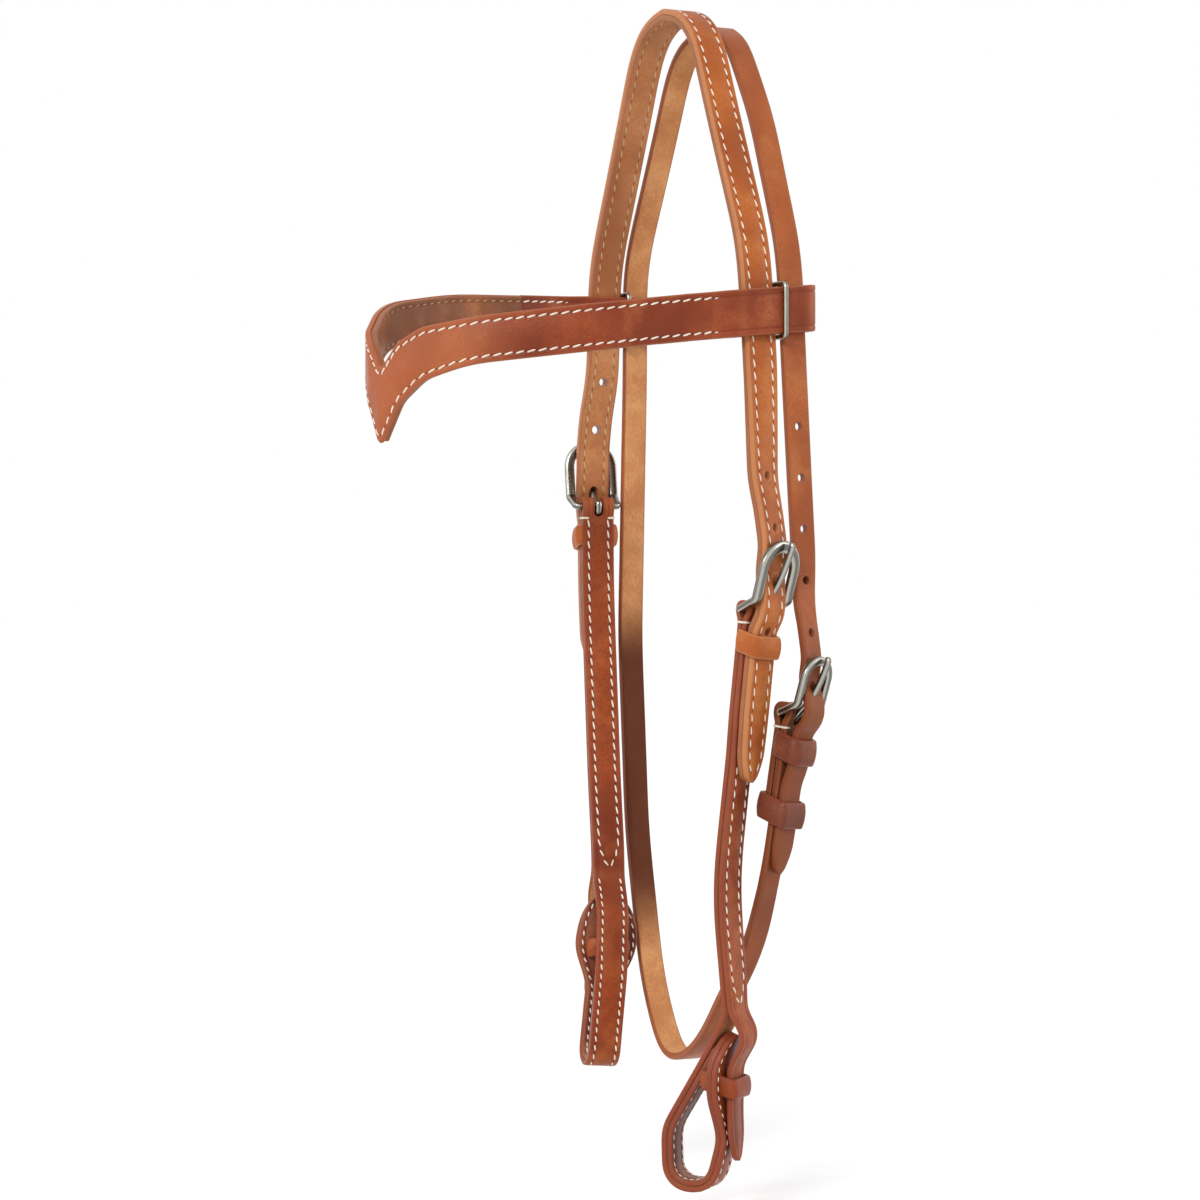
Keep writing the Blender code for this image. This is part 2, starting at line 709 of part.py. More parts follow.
POLL_TO_NEAR_SEAM_END = 462.5 * MM
POLL_TO_OFF_SEAM_END = 407.8 * MM
NEAR_LOOP_DEEP = 84.8 * MM
OFF_LOOP_DEEP = 95.0 * MM
HOLE_PITCH = 23.5 * MM
HOLE_ABOVE_BAR = 14.5 * MM
HOLE_RADIUS = 2.1 * MM
PUNCH_IN = 10.0 * MM
PUNCH_OUT = 14.0 * MM
NEAR_TAIL_OUT = 1.0 * MM
OFF_TAIL_OUT = 4.0 * MM
CROWN_HOLES = (-1, 1, 2)
THROAT_HOLES = (1, 2, 3, 4, 5)


def punch(name, line, at, target):
    """A round hole straight through a strap."""
    cut(target, pin(name, line.put(at, 0, -PUNCH_IN), line.put(at, 0, PUNCH_OUT), HOLE_RADIUS))


for side, line, bar, loop, seam_end, loop_deep, tail_out in (
        ("near", near_line, NEAR_BAR, NEAR_LOOP_SHARES, POLL_TO_NEAR_SEAM_END, NEAR_LOOP_DEEP,
         NEAR_TAIL_OUT),
        ("off", off_line, OFF_BAR, OFF_LOOP_SHARES, POLL_TO_OFF_SEAM_END, OFF_LOOP_DEEP,
         OFF_TAIL_OUT)):
    start, end = cheek(side, line, bar, loop, seam_end, loop_deep, tail_out)
    for layer in (crown_outer, crown_liner):
        cut(layer, pin(side + "_tongue_hole", start, end, TONGUE_RADIUS + TONGUE_PLAY))
        for back in CROWN_HOLES:
            punch(side + "_hole", line, bar - HOLE_ABOVE_BAR - back * HOLE_PITCH, layer)


# throatlatch
RING_ROOM = 4.7 * MM
BEHIND = CROWN_WIDTH / 2 + RING_ROOM + THROAT_WIDTH / 2
# rows: out, back and drop from the poll as shares of HEAD_HALF, BEHIND and POLL_TO_NEAR_BAR
THROAT_SHARES = ((0, 1.316, 0.0087), (0.11, 1.316, 0.0087), (0.53, 1.18, 0.17),
                 (0.935, 1, 0.4131), (1.0, 1, 0.6153), (1.03, 1.237, 0.9852),
                 (0.89, 0.58, 1.4143), (0.66, 0.579, 1.5623), (0.13, 0.526, 1.7447),
                 (-0.26, 0.553, 1.7773), (-0.74, 0.974, 1.656), (-0.97, 1.026, 1.3946),
                 (-1.0, 0.884, 1.0493), (-0.99, 1, 0.5956), (-0.945, 0.921, 0.3934),
                 (-0.35, 1.13, 0.0087), (0, 1.316, 0.0087))
# the corner radii as shares of HEAD_HALF
THROAT_CORNER_SHARES = (0, 0.364, 1.3, 0.78, 1.3, 2.6, 0.65, 0.78, 0.78, 0.286, 0.78, 1.3, 2.6,
                        1.3, 0.78, 0.364, 0)
# rows: drop as a share of POLL_TO_NEAR_BAR, turn of the face to the back in degrees
THROAT_TURN_SHARES = ((0.4082, 0), (0.9014, 6), (1.0197, 22), (1.4537, 22), (1.5918, 8), (1.7398, 0))
THROAT_BAR_DROP = 326.8 * MM
THROAT_FOLD = BAR_RADIUS + GAP + THROAT_THICK / 2
THROAT_RISE = 26.0 * MM
THROAT_LEAN = 13.0 * MM
THROAT_RAIL = 4.2 * MM
THROAT_TIP = 73.0 * MM
THROAT_PAIR = (THROAT_THICK + GAP) / 2
CHAPE = 46.0 * MM
FIXED_AT = 9.5 * MM
SLIDING_AT = 38.5 * MM
PAIR_END_SHARE = 1.4
MIDDLE_SHARE = 2

corners = [((out * HEAD_HALF, back * BEHIND, -drop * POLL_TO_NEAR_BAR), corner * HEAD_HALF)
           for (out, back, drop), corner in zip(THROAT_SHARES, THROAT_CORNER_SHARES)]
plain = Line(corners, ((0, 0),), 1)
turns = [(plain.where(-drop * POLL_TO_NEAR_BAR), turn * DEG) for drop, turn in THROAT_TURN_SHARES]
throat_line = Line(corners, turns, 1, loop=True)
THROAT_BAR = throat_line.where(-THROAT_BAR_DROP)
around = throat_line.length
throat_path = flat([
    (THROAT_BAR + CHAPE, -THROAT_PAIR, 0), (THROAT_BAR + CLOSE_BY, -THROAT_PAIR, CLOSE_BEND),
    (THROAT_BAR + JUST_PAST, -THROAT_FOLD, FOLD_BEND),
    (THROAT_BAR - THROAT_FOLD, -THROAT_FOLD, ROUND_SHARE * THROAT_FOLD),
    (THROAT_BAR - THROAT_FOLD, THROAT_FOLD, ROUND_SHARE * THROAT_FOLD),
    (THROAT_BAR + JUST_PAST, THROAT_FOLD, FOLD_BEND),
    (THROAT_BAR + CLOSE_BY, THROAT_PAIR, CLOSE_BEND),
    (THROAT_BAR + PAIR_END_SHARE * THROAT_TIP, THROAT_PAIR, WIDE_BEND),
    (THROAT_BAR + MIDDLE_SHARE * THROAT_TIP, 0, WIDE_BEND)]
    + billet_path(around + THROAT_BAR, THROAT_TIP, THROAT_THICK, THROAT_THICK, THROAT_RISE,
                  THROAT_LEAN, FIXED_AT, SLIDING_AT + KEEPER_TALL, THROAT_LOOSE))
throat_path = with_places(throat_path, list(throat_line.at) + [around + a for a in throat_line.at])
throatlatch = strap("throatlatch", throat_line, throat_path, tapered(THROAT_WIDTH, 0, POINT),
                    THROAT_THICK)
over = GAP + THROAT_THICK + GAP + THROAT_THICK + 2 * KEEPER_SLACK + GAP + KEEPER_THICK / 2
tucked_keeper("throat_fixed_keeper", throat_line, THROAT_BAR + FIXED_AT, KEEPER_TALL,
              THROAT_WIDTH / 2, over + THROAT_LOOSE, throatlatch)
slide_side = THROAT_WIDTH / 2 + 1.5 * GAP + KEEPER_THICK / 2
under = -THROAT_THICK - 1.5 * GAP - KEEPER_THICK / 2
band("throat_sliding_keeper", throat_line, THROAT_BAR + SLIDING_AT, KEEPER_TALL,
     ring_path([((-slide_side, under, 0), KEEPER_CORNER), ((-slide_side, over, 0), KEEPER_CORNER),
                ((slide_side, over, 0), KEEPER_CORNER), ((slide_side, under, 0), KEEPER_CORNER)]),
     True)
slot("throat", throat_line, THROAT_BAR, THROAT_THICK / 2, throatlatch)
start, end = buckle("throat_buckle", throat_line, THROAT_BAR, THROAT_WIDTH, THROAT_RISE,
                    THROAT_LEAN, THROAT_RAIL)
cut(throatlatch, pin("throat_tongue_hole", start, end, TONGUE_RADIUS + TONGUE_PLAY))
for back in THROAT_HOLES:
    punch("throat_hole", throat_line, THROAT_BAR - HOLE_ABOVE_BAR - back * HOLE_PITCH, throatlatch)


# browband
# rows: out, back and drop as shares of HEAD_HALF, REACH and POLL_TO_NEAR_BAR, then the corner's
# radius as a share of HEAD_HALF; the two ends lie behind the throatlatch
BROW_SHARES = ((0.987, -0.25, 0.5216, 2.6), (0.82, -0.80, 0.5453, 1.56), (0.52, -1.26, 0.566, 0.58),
               (0.28, -1.42, 0.5857, 0.31), (0.13, -1.485, 0.6153, 0.2), (0, -1.525, 0.6705, 0.02),
               (-0.13, -1.53, 0.6153, 0.2), (-0.26, -1.5, 0.5847, 0.26),
               (-0.545, -1.34, 0.5246, 0.58), (-0.80, -0.88, 0.4969, 1.56), (-0.98, -0.25, 0.4881, 2.6))
NEAR_END_SHARES = (0.967, 0.5048)
OFF_END_SHARES = (-0.96, 0.4871)
END_TUCK = 1.85 * MM
END_BACK = BEHIND + THROAT_WIDTH / 2 - END_TUCK
LOOP_PLAY = 2.0 * MM
LOOP_HALF = CROWN_THICK / 2 + LOOP_PLAY + LAYER / 2
LOOP_RUN = 34.0 * MM
JOIN_RUN = 46.0 * MM
TURNED_BACK = 72.0 * MM
POINT_RUN = 60.0 * MM
POINT_POWER = 1.7
brow_corners = [((out * HEAD_HALF, back * REACH, -drop * POLL_TO_NEAR_BAR), corner * HEAD_HALF)
                for out, back, drop, corner in BROW_SHARES]
first, last = [((out * HEAD_HALF, END_BACK, -drop * POLL_TO_NEAR_BAR), 0)
               for out, drop in (NEAR_END_SHARES, OFF_END_SHARES)]
brow_line = Line([first] + brow_corners + [last], ((0, 0),), -1, upright=True)
brow_end = brow_line.length
middle = min(range(len(brow_line.points)), key=lambda i: brow_line.points[i].z)
BROW_MIDDLE = brow_line.at[middle]


def brow_half(u, inset):
    """Half width of the browband along its line, swelling towards the point in the middle."""
    share = min(abs(u - BROW_MIDDLE) / POINT_RUN, 1)
    more = (BROW_POINT_WIDTH - BROW_WIDTH) / 2
    return BROW_WIDTH / 2 + more * (1 - share) ** POINT_POWER - inset


def brow_strip(name, path, inset, look):
    """A layer of the browband along a path of its line."""
    path = stepped(path)

    def place(i, j):
        q = path[j]
        return brow_line.put(q.x, brow_half(q.x, inset) * (2 * i - 1), q.y)

    made = finish_mesh(sheet(1, len(path) - 1, place), name, look)
    return seat(thicken(made, LAYER), brow_line.spot(BROW_MIDDLE)[0])


near_end = [(TURNED_BACK, -HALF_PAIR, 0), (JOIN_RUN, -HALF_PAIR, BEND),
            (LOOP_RUN, -LOOP_HALF, BEND), (-LOOP_HALF, -LOOP_HALF, ROUND_SHARE * LOOP_HALF),
            (-LOOP_HALF, LOOP_HALF, ROUND_SHARE * LOOP_HALF), (LOOP_RUN, LOOP_HALF, BEND),
            (JOIN_RUN, HALF_PAIR, BEND)]
off_end = [(brow_end - u, n, r) for u, n, r in reversed(near_end)]
brow_places = list(brow_line.at) + [BROW_MIDDLE + k * POINT_RUN / 8 for k in range(-8, 9)]
browband = brow_strip("browband_outer", with_places(flat(near_end + off_end), brow_places), 0,
                      LEATHER)
lining_ends = [(TURNED_BACK + GAP, -HALF_PAIR, 0), (brow_end - TURNED_BACK - GAP, -HALF_PAIR, 0)]
hang(brow_strip("browband_liner", with_places(flat(lining_ends), brow_places), LINER_INSET, FLESH),
     browband)

RING_AT = END_BACK - CROWN_WIDTH / 2 - RING_ROOM / 2
for side, at in (("near", RING_AT), ("off", brow_end - RING_AT)):
    ring = wound_ring(side + "_browband_ring", brow_line, at, BROW_WIDTH / 2, LOOP_HALF + LAYER / 2,
                      RING_RADIUS, RING_CORNER, STEEL)
    hang(ring, browband)
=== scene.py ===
# %% [markdown]
# A western bridle is a set of leather straps that hang on a horse's head. A crown strap goes over
# the poll, two cheek straps hang from it by buckles and carry the bit in a loop at their lower end,
# a browband keeps the crown from sliding back, and a throatlatch passes under the jaw. The packed
# model holds every piece as a plain solid; each is dressed here with its real surface.

# %% load the frame
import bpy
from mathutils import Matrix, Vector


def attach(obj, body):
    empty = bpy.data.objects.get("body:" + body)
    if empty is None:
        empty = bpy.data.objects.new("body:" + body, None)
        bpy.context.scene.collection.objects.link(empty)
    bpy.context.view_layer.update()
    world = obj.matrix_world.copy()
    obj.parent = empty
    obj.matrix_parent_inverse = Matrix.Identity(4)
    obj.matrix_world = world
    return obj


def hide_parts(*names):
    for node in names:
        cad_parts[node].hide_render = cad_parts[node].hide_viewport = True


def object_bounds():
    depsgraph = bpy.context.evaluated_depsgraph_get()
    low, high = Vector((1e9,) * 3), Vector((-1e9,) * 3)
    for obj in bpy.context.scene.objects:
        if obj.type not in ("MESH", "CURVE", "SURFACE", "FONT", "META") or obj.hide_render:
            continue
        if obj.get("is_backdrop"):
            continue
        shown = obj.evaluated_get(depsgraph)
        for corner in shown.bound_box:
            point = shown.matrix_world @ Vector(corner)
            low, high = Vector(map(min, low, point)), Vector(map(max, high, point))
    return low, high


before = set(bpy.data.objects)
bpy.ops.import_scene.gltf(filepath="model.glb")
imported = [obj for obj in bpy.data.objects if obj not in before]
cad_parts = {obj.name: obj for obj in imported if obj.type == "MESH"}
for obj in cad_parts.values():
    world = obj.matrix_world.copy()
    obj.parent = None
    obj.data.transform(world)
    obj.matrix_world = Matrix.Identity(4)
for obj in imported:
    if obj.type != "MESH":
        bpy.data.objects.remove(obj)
cad_low, cad_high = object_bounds()
print("frame:", len(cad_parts), "pieces of leather, thread and steel")

# %% [markdown]
# The camera comes first, because it settles how fine each detail has to be. The photograph was
# taken level, from in front and a little to the near side, with a long lens, so the straps hardly
# change their width from front to back.

# %% camera
import math

import bmesh
import bpy
import numpy as np
from mathutils import Vector

MM = 0.001
DEG = math.pi / 180
CAMERA_AT = Vector((1.475, -0.824, -0.2748))
CAMERA_LOOKS_AT = Vector((0, -0.041, -0.2748))
SENSOR_MM = 36
LENS_MM = 106.6

camera = bpy.data.objects.new("camera", bpy.data.cameras.new("camera"))
camera.data.sensor_width = SENSOR_MM
camera.data.lens = LENS_MM
camera.location = CAMERA_AT
camera.rotation_euler = (CAMERA_LOOKS_AT - CAMERA_AT).to_track_quat("-Z", "Y").to_euler()
bpy.context.scene.collection.objects.link(camera)
bpy.context.scene.camera = camera
print("camera stands", round((CAMERA_LOOKS_AT - CAMERA_AT).length, 3), "m away")

# %% [markdown]
# Saddlers cut a strap flat and let it take its shape on the horse. The model works the same way: a
# strap has a resting line on the head, and a path in its own plane that says how far along the line
# it lies and how far off the face. Corners get a round bend, as leather has.

# %% sizes of the leather
CROWN_WIDTH = 15.9 * MM
THROAT_WIDTH = 12.7 * MM
BROW_WIDTH = 21.5 * MM
BROW_POINT_WIDTH = 34.5 * MM
LAYER = 2.5 * MM
THROAT_THICK = 3.4 * MM
KEEPER_THICK = 1.8 * MM
GAP = 0.3 * MM
LINER_INSET = 0.6 * MM
HALF_PAIR = (LAYER + GAP) / 2
CROWN_THICK = 2 * LAYER + GAP
POINT = 15 * MM
TIP_SHARE = 0.35
ROUND_SHARE = 0.97
STEP = 1.6 * MM

HEAD_HALF = 77.0 * MM
POLL_TO_NEAR_BAR = 279.5 * MM
POLL_TO_OFF_BAR = 228.5 * MM
REACH = 100.0 * MM
CREST_Z = GAP + LAYER + GAP / 2

WIDE_BEND = 28.0 * MM
BEND = 10.0 * MM
CLOSE_BEND = 7.0 * MM
FOLD_BEND = 6.0 * MM
JUST_PAST = 1.0 * MM


# %% round corners
HALF_RUN = 0.49
TURN_STEP = 5 * DEG


def rounded(corners):
    """A path of straight runs with an arc of the given radius at every inner corner."""
    out = [Vector(corners[0][0])]
    last = len(corners) - 3
    for place, (before, here, after) in enumerate(zip(corners, corners[1:], corners[2:])):
        p = Vector(here[0])
        a, b = Vector(before[0]) - p, Vector(after[0]) - p
        room = min(a.length * (HALF_RUN if place else 2 * HALF_RUN),
                   b.length * (HALF_RUN if place < last else 2 * HALF_RUN))
        a.normalize()
        b.normalize()
        bend = math.pi - a.angle(b)
        if bend < DEG:
            out.append(p)
            continue
        reach = min(here[1] * math.tan(bend / 2), room)
        centre = p + (a + b).normalized() * math.hypot(reach / math.tan(bend / 2), reach)
        u, v = p + a * reach - centre, p + b * reach - centre
        steps = max(2, math.ceil(bend / TURN_STEP))
        for t in (i / steps for i in range(steps + 1)):
            mix = u.lerp(v, t)
            if bend < math.pi - DEG:
                mix = (math.sin((1 - t) * bend) * u + math.sin(t * bend) * v) / math.sin(bend)
            out.append(centre + mix)
    out.append(Vector(corners[-1][0]))
    return out


# %% ease the bends
LINE_EASE = 13.0 * MM
LINE_STEP = 3.0 * MM
PATH_EASE = 3.0 * MM
EASE_REACH = 3
SKIPPED_SHARE = 1 / 40


def fine(path, step):
    """The same path with no run longer than a step; very short runs are left out."""
    out = [path[0]]
    for a, b in zip(path, path[1:]):
        gap = (b - a).length
        if gap < step * SKIPPED_SHARE:
            continue
        count = max(1, math.ceil(gap / step))
        out += [a.lerp(b, (i + 1) / count) for i in range(count)]
    return out


def gone_along(centre):
    """Distance gone at each row."""
    return np.concatenate([[0], np.cumsum(np.linalg.norm(np.diff(centre, axis=0), axis=1))])


def eased(path, ease, step, folds=()):
    """Leather has no sharp bends: average each place with its neighbours, but not at the folds."""
    spots = np.array([tuple(p) for p in fine(path, step)])
    gone = gone_along(spots)
    even = np.linspace(0, gone[-1], max(3, int(gone[-1] / step) + 1))
    rows = np.stack([np.interp(even, gone, spots[:, k]) for k in range(3)], 1)
    reach = min(math.ceil(EASE_REACH * ease / step), len(rows) - 1)
    weight = np.exp(-0.5 * (np.arange(-reach, reach + 1) * step / ease) ** 2)

    def soften(rows):
        """Each place averaged with its neighbours; past the ends the path is mirrored."""
        longer = np.vstack([2 * rows[0] - rows[reach:0:-1], rows,
                            2 * rows[-1] - rows[-2:-reach - 2:-1]])
        return np.stack([np.convolve(longer[:, k], weight / weight.sum(), "valid")
                         for k in range(3)], 1)

    soft = soften(rows)
    soft = 2 * soft - soften(soft)
    share = np.ones(len(rows))
    for u, clear, full in folds:
        away = np.hypot(rows[:, 0] - u, rows[:, 1])
        share = np.minimum(share, np.clip((away - clear) / (full - clear), 0, 1))
    rows += (soft - rows) * share[:, None]
    return [Vector(row) for row in rows]


# %% a strap's resting line
class Line:
    """A strap's resting line on the head: a place along it, across it and off its face."""

    def __init__(self, corners, turns, side, loop=False, upright=False, ease=LINE_EASE):
        """Corners are (place, radius); turns are (distance along, how far the face has turned)."""
        self.points = eased(rounded(corners), ease, min(LINE_STEP, ease))
        self.at = [0.0]
        for a, b in zip(self.points, self.points[1:]):
            self.at.append(self.at[-1] + (b - a).length)
        self.turns = turns
        self.side = side
        self.length = self.at[-1]
        self.loop = loop
        self.upright = upright

    def spot(self, u):
        """Point and heading at a distance u along the line."""
        if self.loop:
            u = u % self.length
        i = int(np.searchsorted(self.at, u, side="left")) - 1
        i = min(max(i, 0), len(self.at) - 2)
        heading = (self.points[i + 1] - self.points[i]).normalized()
        p = self.points[i] + heading * (u - self.at[i])
        share = min(max((u - self.at[i]) / (self.at[i + 1] - self.at[i]), 0), 1)
        last = len(self.points) - 2
        before = (self.points[i] - self.points[i - 1]).normalized() if i else heading
        after = (self.points[i + 2] - self.points[i + 1]).normalized() if i < last else heading
        return p, (before + heading).lerp(heading + after, share).normalized()

    def turn(self, u):
        """How far the face has turned to the back at u."""
        places, angles = zip(*self.turns)
        return float(np.interp(u % self.length if self.loop else u, places, angles))

    def frame(self, u):
        """Point, heading, across and off the face at u."""
        p, heading = self.spot(u)
        if self.upright:
            across = Vector((0, 0, 1))
            return p, heading, across, heading.cross(across).normalized() * self.side
        turn = self.turn(u)
        across = Vector((-math.sin(turn) * self.side, math.cos(turn), 0))
        across = (across - heading * across.dot(heading)).normalized()
        return p, heading, across, heading.cross(across) * self.side

    def where(self, height):
        """Distance along the line where it first comes down to a height."""
        for i in range(len(self.points) - 1):
            a, b = self.points[i].z, self.points[i + 1].z
            if a >= height > b:
                return self.at[i] + (a - height) / (a - b) * (self.at[i + 1] - self.at[i])
        return self.length


def flat(corners):
    """A path in a strap's own plane: distance along, distance off the face."""
    return rounded([((u, n, 0), r) for u, n, r in corners])


# %% the two sides of the head
NEAR_SHARES = ((0, 0, 0), (0.285, 0, 0), (0.935, 0, 0.4131), (1.0, 0.01, 0.6153),
               (1.03, 0.01, 0.8422), (0.965, -0.06, 1.1677), (0.82, -0.09, 1.4636),
               (0.80, -0.03, 1.6708), (0.79, -0.03, 2.0456))
OFF_SHARES = ((0, 0, 0), (0.285, 0, 0), (0.935, 0, 0.4131), (0.99, 0.01, 0.5956),
              (1.0, -0.02, 0.6844), (1.0, -0.015, 0.9753), (0.91, -0.015, 1.3058),
              (0.86, -0.01, 1.4735), (0.9, -0.09, 1.8878))
CORNER_SHARES = (0, 0.416, 0.78, 1.3, 2.6, 2.6, 2.08, 1.56, 0)
NEAR_TURNS = ((0.2109, 0), (0.6054, 4 * DEG), (0.8422, 22 * DEG), (1.1776, 22 * DEG),
              (1.2466, 28 * DEG), (1.3946, 27 * DEG), (1.5129, 25 * DEG), (1.6313, 28 * DEG),
              (1.7299, 37 * DEG), (1.8878, 40 * DEG))
OFF_TURNS = ((0.2109, 0), (0.5758, 2 * DEG), (0.7041, 13 * DEG), (0.9753, 14 * DEG),
             (1.0986, 15 * DEG), (1.4932, 14 * DEG), (1.7891, 12 * DEG))


def side_line(shares, turns, side):
    """The line down one side of the head, from the crest to below the bit."""
    corners = [((side * out * HEAD_HALF, back * REACH, CREST_Z - drop * POLL_TO_NEAR_BAR),
                corner * HEAD_HALF) for (out, back, drop), corner in zip(shares, CORNER_SHARES)]
    plain = Line(corners, ((0, 0),), side)
    spots = [(plain.where(CREST_Z - drop * POLL_TO_NEAR_BAR), turn) for drop, turn in turns]
    return Line(corners, spots, side)


near_line = side_line(NEAR_SHARES, NEAR_TURNS, 1)
off_line = side_line(OFF_SHARES, OFF_TURNS, -1)
NEAR_BAR = near_line.where(-POLL_TO_NEAR_BAR)
OFF_BAR = off_line.where(-POLL_TO_OFF_BAR)


class OverPoll:
    """Both side lines as one: the near side counts up from the crest, the off side down."""

    def frame(self, u):
        """Point, heading, across and off the face; heading runs from the off to the near side."""
        if u >= 0:
            return near_line.frame(u)
        p, heading, across, off = off_line.frame(-u)
        return p, -heading, across, off


over_poll = OverPoll()
print("poll to near buckle", round(NEAR_BAR, 4), "to off buckle", round(OFF_BAR, 4), "m of strap")

# %% [markdown]
# Every strap, keeper, ring and rod is one cross section swept along a row of places. Sweeping by
# hand rather than with a curve's bevel keeps a strap flat on its face through every fold, lets the
# width swell and taper, and lets each point remember how near the edge it sits, on which face, how
# deep in a groove and how sharply bent. The materials read those numbers.


# %% sweep a section along places
SHARP = 42 * DEG


def mesh_piece(name, points, faces, looks, marks=None):
    """A mesh object with its materials, its marks and smooth shading."""
    mesh = bpy.data.meshes.new(name)
    mesh.from_pydata(np.asarray(points).reshape(-1, 3).tolist(), [], faces)
    for key, values in (marks or {}).items():
        made = mesh.attributes.new(key, "FLOAT", "POINT")
        made.data.foreach_set("value", np.asarray(values, np.float32).ravel())
    for look in looks:
        mesh.materials.append(look)
    mesh.shade_smooth()
    mesh.set_sharp_from_angle(angle=SHARP)
    made = bpy.data.objects.new(name, mesh)
    bpy.context.scene.collection.objects.link(made)
    return made


def tube_faces(rows, ring, closed=False):
    """Faces between rows of rings, with a face over each end unless the tube is closed."""
    faces = [(i * ring + j, i * ring + (j + 1) % ring, (i + 1) % rows * ring + (j + 1) % ring,
              (i + 1) % rows * ring + j)
             for i in range(rows if closed else rows - 1) for j in range(ring)]
    if not closed:
        faces += [tuple(reversed(range(ring))), tuple(range((rows - 1) * ring, rows * ring))]
    return faces


def skin(name, places, sections, closed, look, bend=None):
    """Loft rows of (across, off, rim, side, groove) sections along (centre, across, off) places."""
    centre, across, off = places
    rows, ring = len(sections), len(sections[0])
    sections = np.asarray(sections)
    points = (centre[:, None] + across[:, None] * sections[:, :, 0:1]
              + off[:, None] * sections[:, :, 1:2])
    marks = {"rim": sections[:, :, 2], "side": sections[:, :, 3], "groove": sections[:, :, 4],
             "bend": np.repeat(np.zeros(rows) if bend is None else bend, ring)}
    made = mesh_piece(name, points, tube_faces(rows, ring, closed), [look], marks)
    turn_out(made)
    return made


def turn_out(piece):
    """Make every face look outward."""
    bm = bmesh.new()
    bm.from_mesh(piece.data)
    bmesh.ops.recalc_face_normals(bm, faces=bm.faces)
    if bm.calc_volume(signed=True) < 0:
        bmesh.ops.reverse_faces(bm, faces=bm.faces)
    bm.to_mesh(piece.data)
    bm.free()
    piece.data.set_sharp_from_angle(angle=SHARP)


# %% places along a strap
LEAST = 1e-12
BEND_ROWS = 7
TIP_ROWS = (0, 0.05, 0.15, 0.35, 0.6)


def unit(rows):
    """A vector, or rows of vectors, each made one long."""
    return rows / np.maximum(np.linalg.norm(rows, axis=-1, keepdims=True), LEAST)


def strap_places(line, path, tips=False):
    """Centre, across and off-the-face rows along a flat path, and how sharply it bends."""
    spots = fine(path, STEP)
    if tips:
        spots = tip_rows(spots)
    steps = unit(np.array([(b - a)[:2] for a, b in zip(spots, spots[1:])]))
    ahead = unit(np.vstack([steps[:1], steps[:-1] + steps[1:], steps[-1:]]))
    rows = []
    for q, (tu, tn) in zip(spots, ahead):
        p, heading, across, off = line.frame(q.x)
        rows.append((p + off * q.y, across, off * tu - heading * tn))
    centre, across, off = [np.array([row[k] for row in rows]) for k in range(3)]
    turn = np.concatenate([[0], np.arccos(np.clip((steps[:-1] * steps[1:]).sum(1), -1, 1)), [0]])
    runs = np.linalg.norm(np.diff(centre, axis=0), axis=1)
    runs = np.concatenate([runs[:1], (runs[:-1] + runs[1:]) / 2, runs[-1:]])
    bend = np.convolve(turn / runs, np.ones(BEND_ROWS) / BEND_ROWS, "same")
    return (centre, across, off), bend


def tip_rows(spots):
    """Closer rows at both ends, so that a rounded tip is round."""
    for end in ("first", "last"):
        closer = [spots[0].lerp(spots[1], t) for t in TIP_ROWS]
        spots = list(reversed(closer + spots[1:]))
    return spots


# %% the section of a strap
EDGE = 0.9 * MM
SEAM = 0.45 * MM
STITCH_INSET = 3.0 * MM
CHANNEL_HALF = 0.7 * MM
CHANNEL_DEEP = 0.28 * MM
EDGE_MOST = 0.9
EDGE_OF_WIDTH = 0.8
CHANNEL_IN = 0.4
CHANNEL_OF_PLACE = 0.3
ARC_FIRST, ARC_MIDDLE, ARC_LAST = 0.08, 0.29, 0.62


def strap_section(half, thick, edge, seam, grain, channel=CHANNEL_DEEP):
    """Points round a strap: a grain face with stitch channels, round edges and a flesh face."""
    t = thick / 2
    most = min(t * EDGE_MOST, half * EDGE_OF_WIDTH)
    edge, seam = min(edge, most), min(seam, most)
    at = max(half - STITCH_INSET, half * CHANNEL_IN)
    wide = min(CHANNEL_HALF, at * CHANNEL_OF_PLACE)
    crease = seam < edge
    small, middle, large = edge * ARC_FIRST, edge * ARC_MIDDLE, edge * ARC_LAST
    back = seam * ARC_MIDDLE
    right = [(at - wide, t, half - at, 1, 0), (at, t - channel, half - at, 1, channel > 0),
             (at + wide, t, half - at, 1, 0), (half - edge, t, edge, 1, 0),
             (half - large, t - small, edge * 0.6, 1, 0),
             (half - middle, t - middle, edge * 0.3, 0.6, 0),
             (half - small, t - large, 0, 0.2, 0), (half, t - edge, 0, 0, 0),
             (half, seam - t, 0, 0, 0), (half - back, back - t, 0, -0.4, crease),
             (half - seam, -t, seam, -1, crease), (half / 2, -t, half / 2, -1, 0)]
    left = [(-a, b, rim, side, groove) for a, b, rim, side, groove in reversed(right)]
    rows = [(0, t, half, 1, 0)] + right + [(0, -t, half, -1, 0)] + left
    return [(a, b * grain, rim, side, groove) for a, b, rim, side, groove in rows]


# %% a strip of leather
NOSE = 3.0 * MM
NOSE_LEAST = 0.03


def nosed(half, s, total):
    """The half width with the very end of the strap rounded over."""
    t = min(s, total - s) / NOSE
    return half * (math.sqrt(max(1 - (1 - t) ** 2, NOSE_LEAST)) if t < 1 else 1)


def ribbon(name, line, path, half, thick, look, seam=SEAM, grain=1, channel=CHANNEL_DEEP):
    """A strip of leather along a path; half(s, total) is its half width at s along it."""
    places, bend = strap_places(line, path, tips=True)
    gone = gone_along(places[0])
    total = gone[-1]
    sections = [strap_section(nosed(half(s, total), s, total), thick, EDGE, seam, grain, channel)
                for s in gone]
    return skin(name, places, sections, False, look, bend)


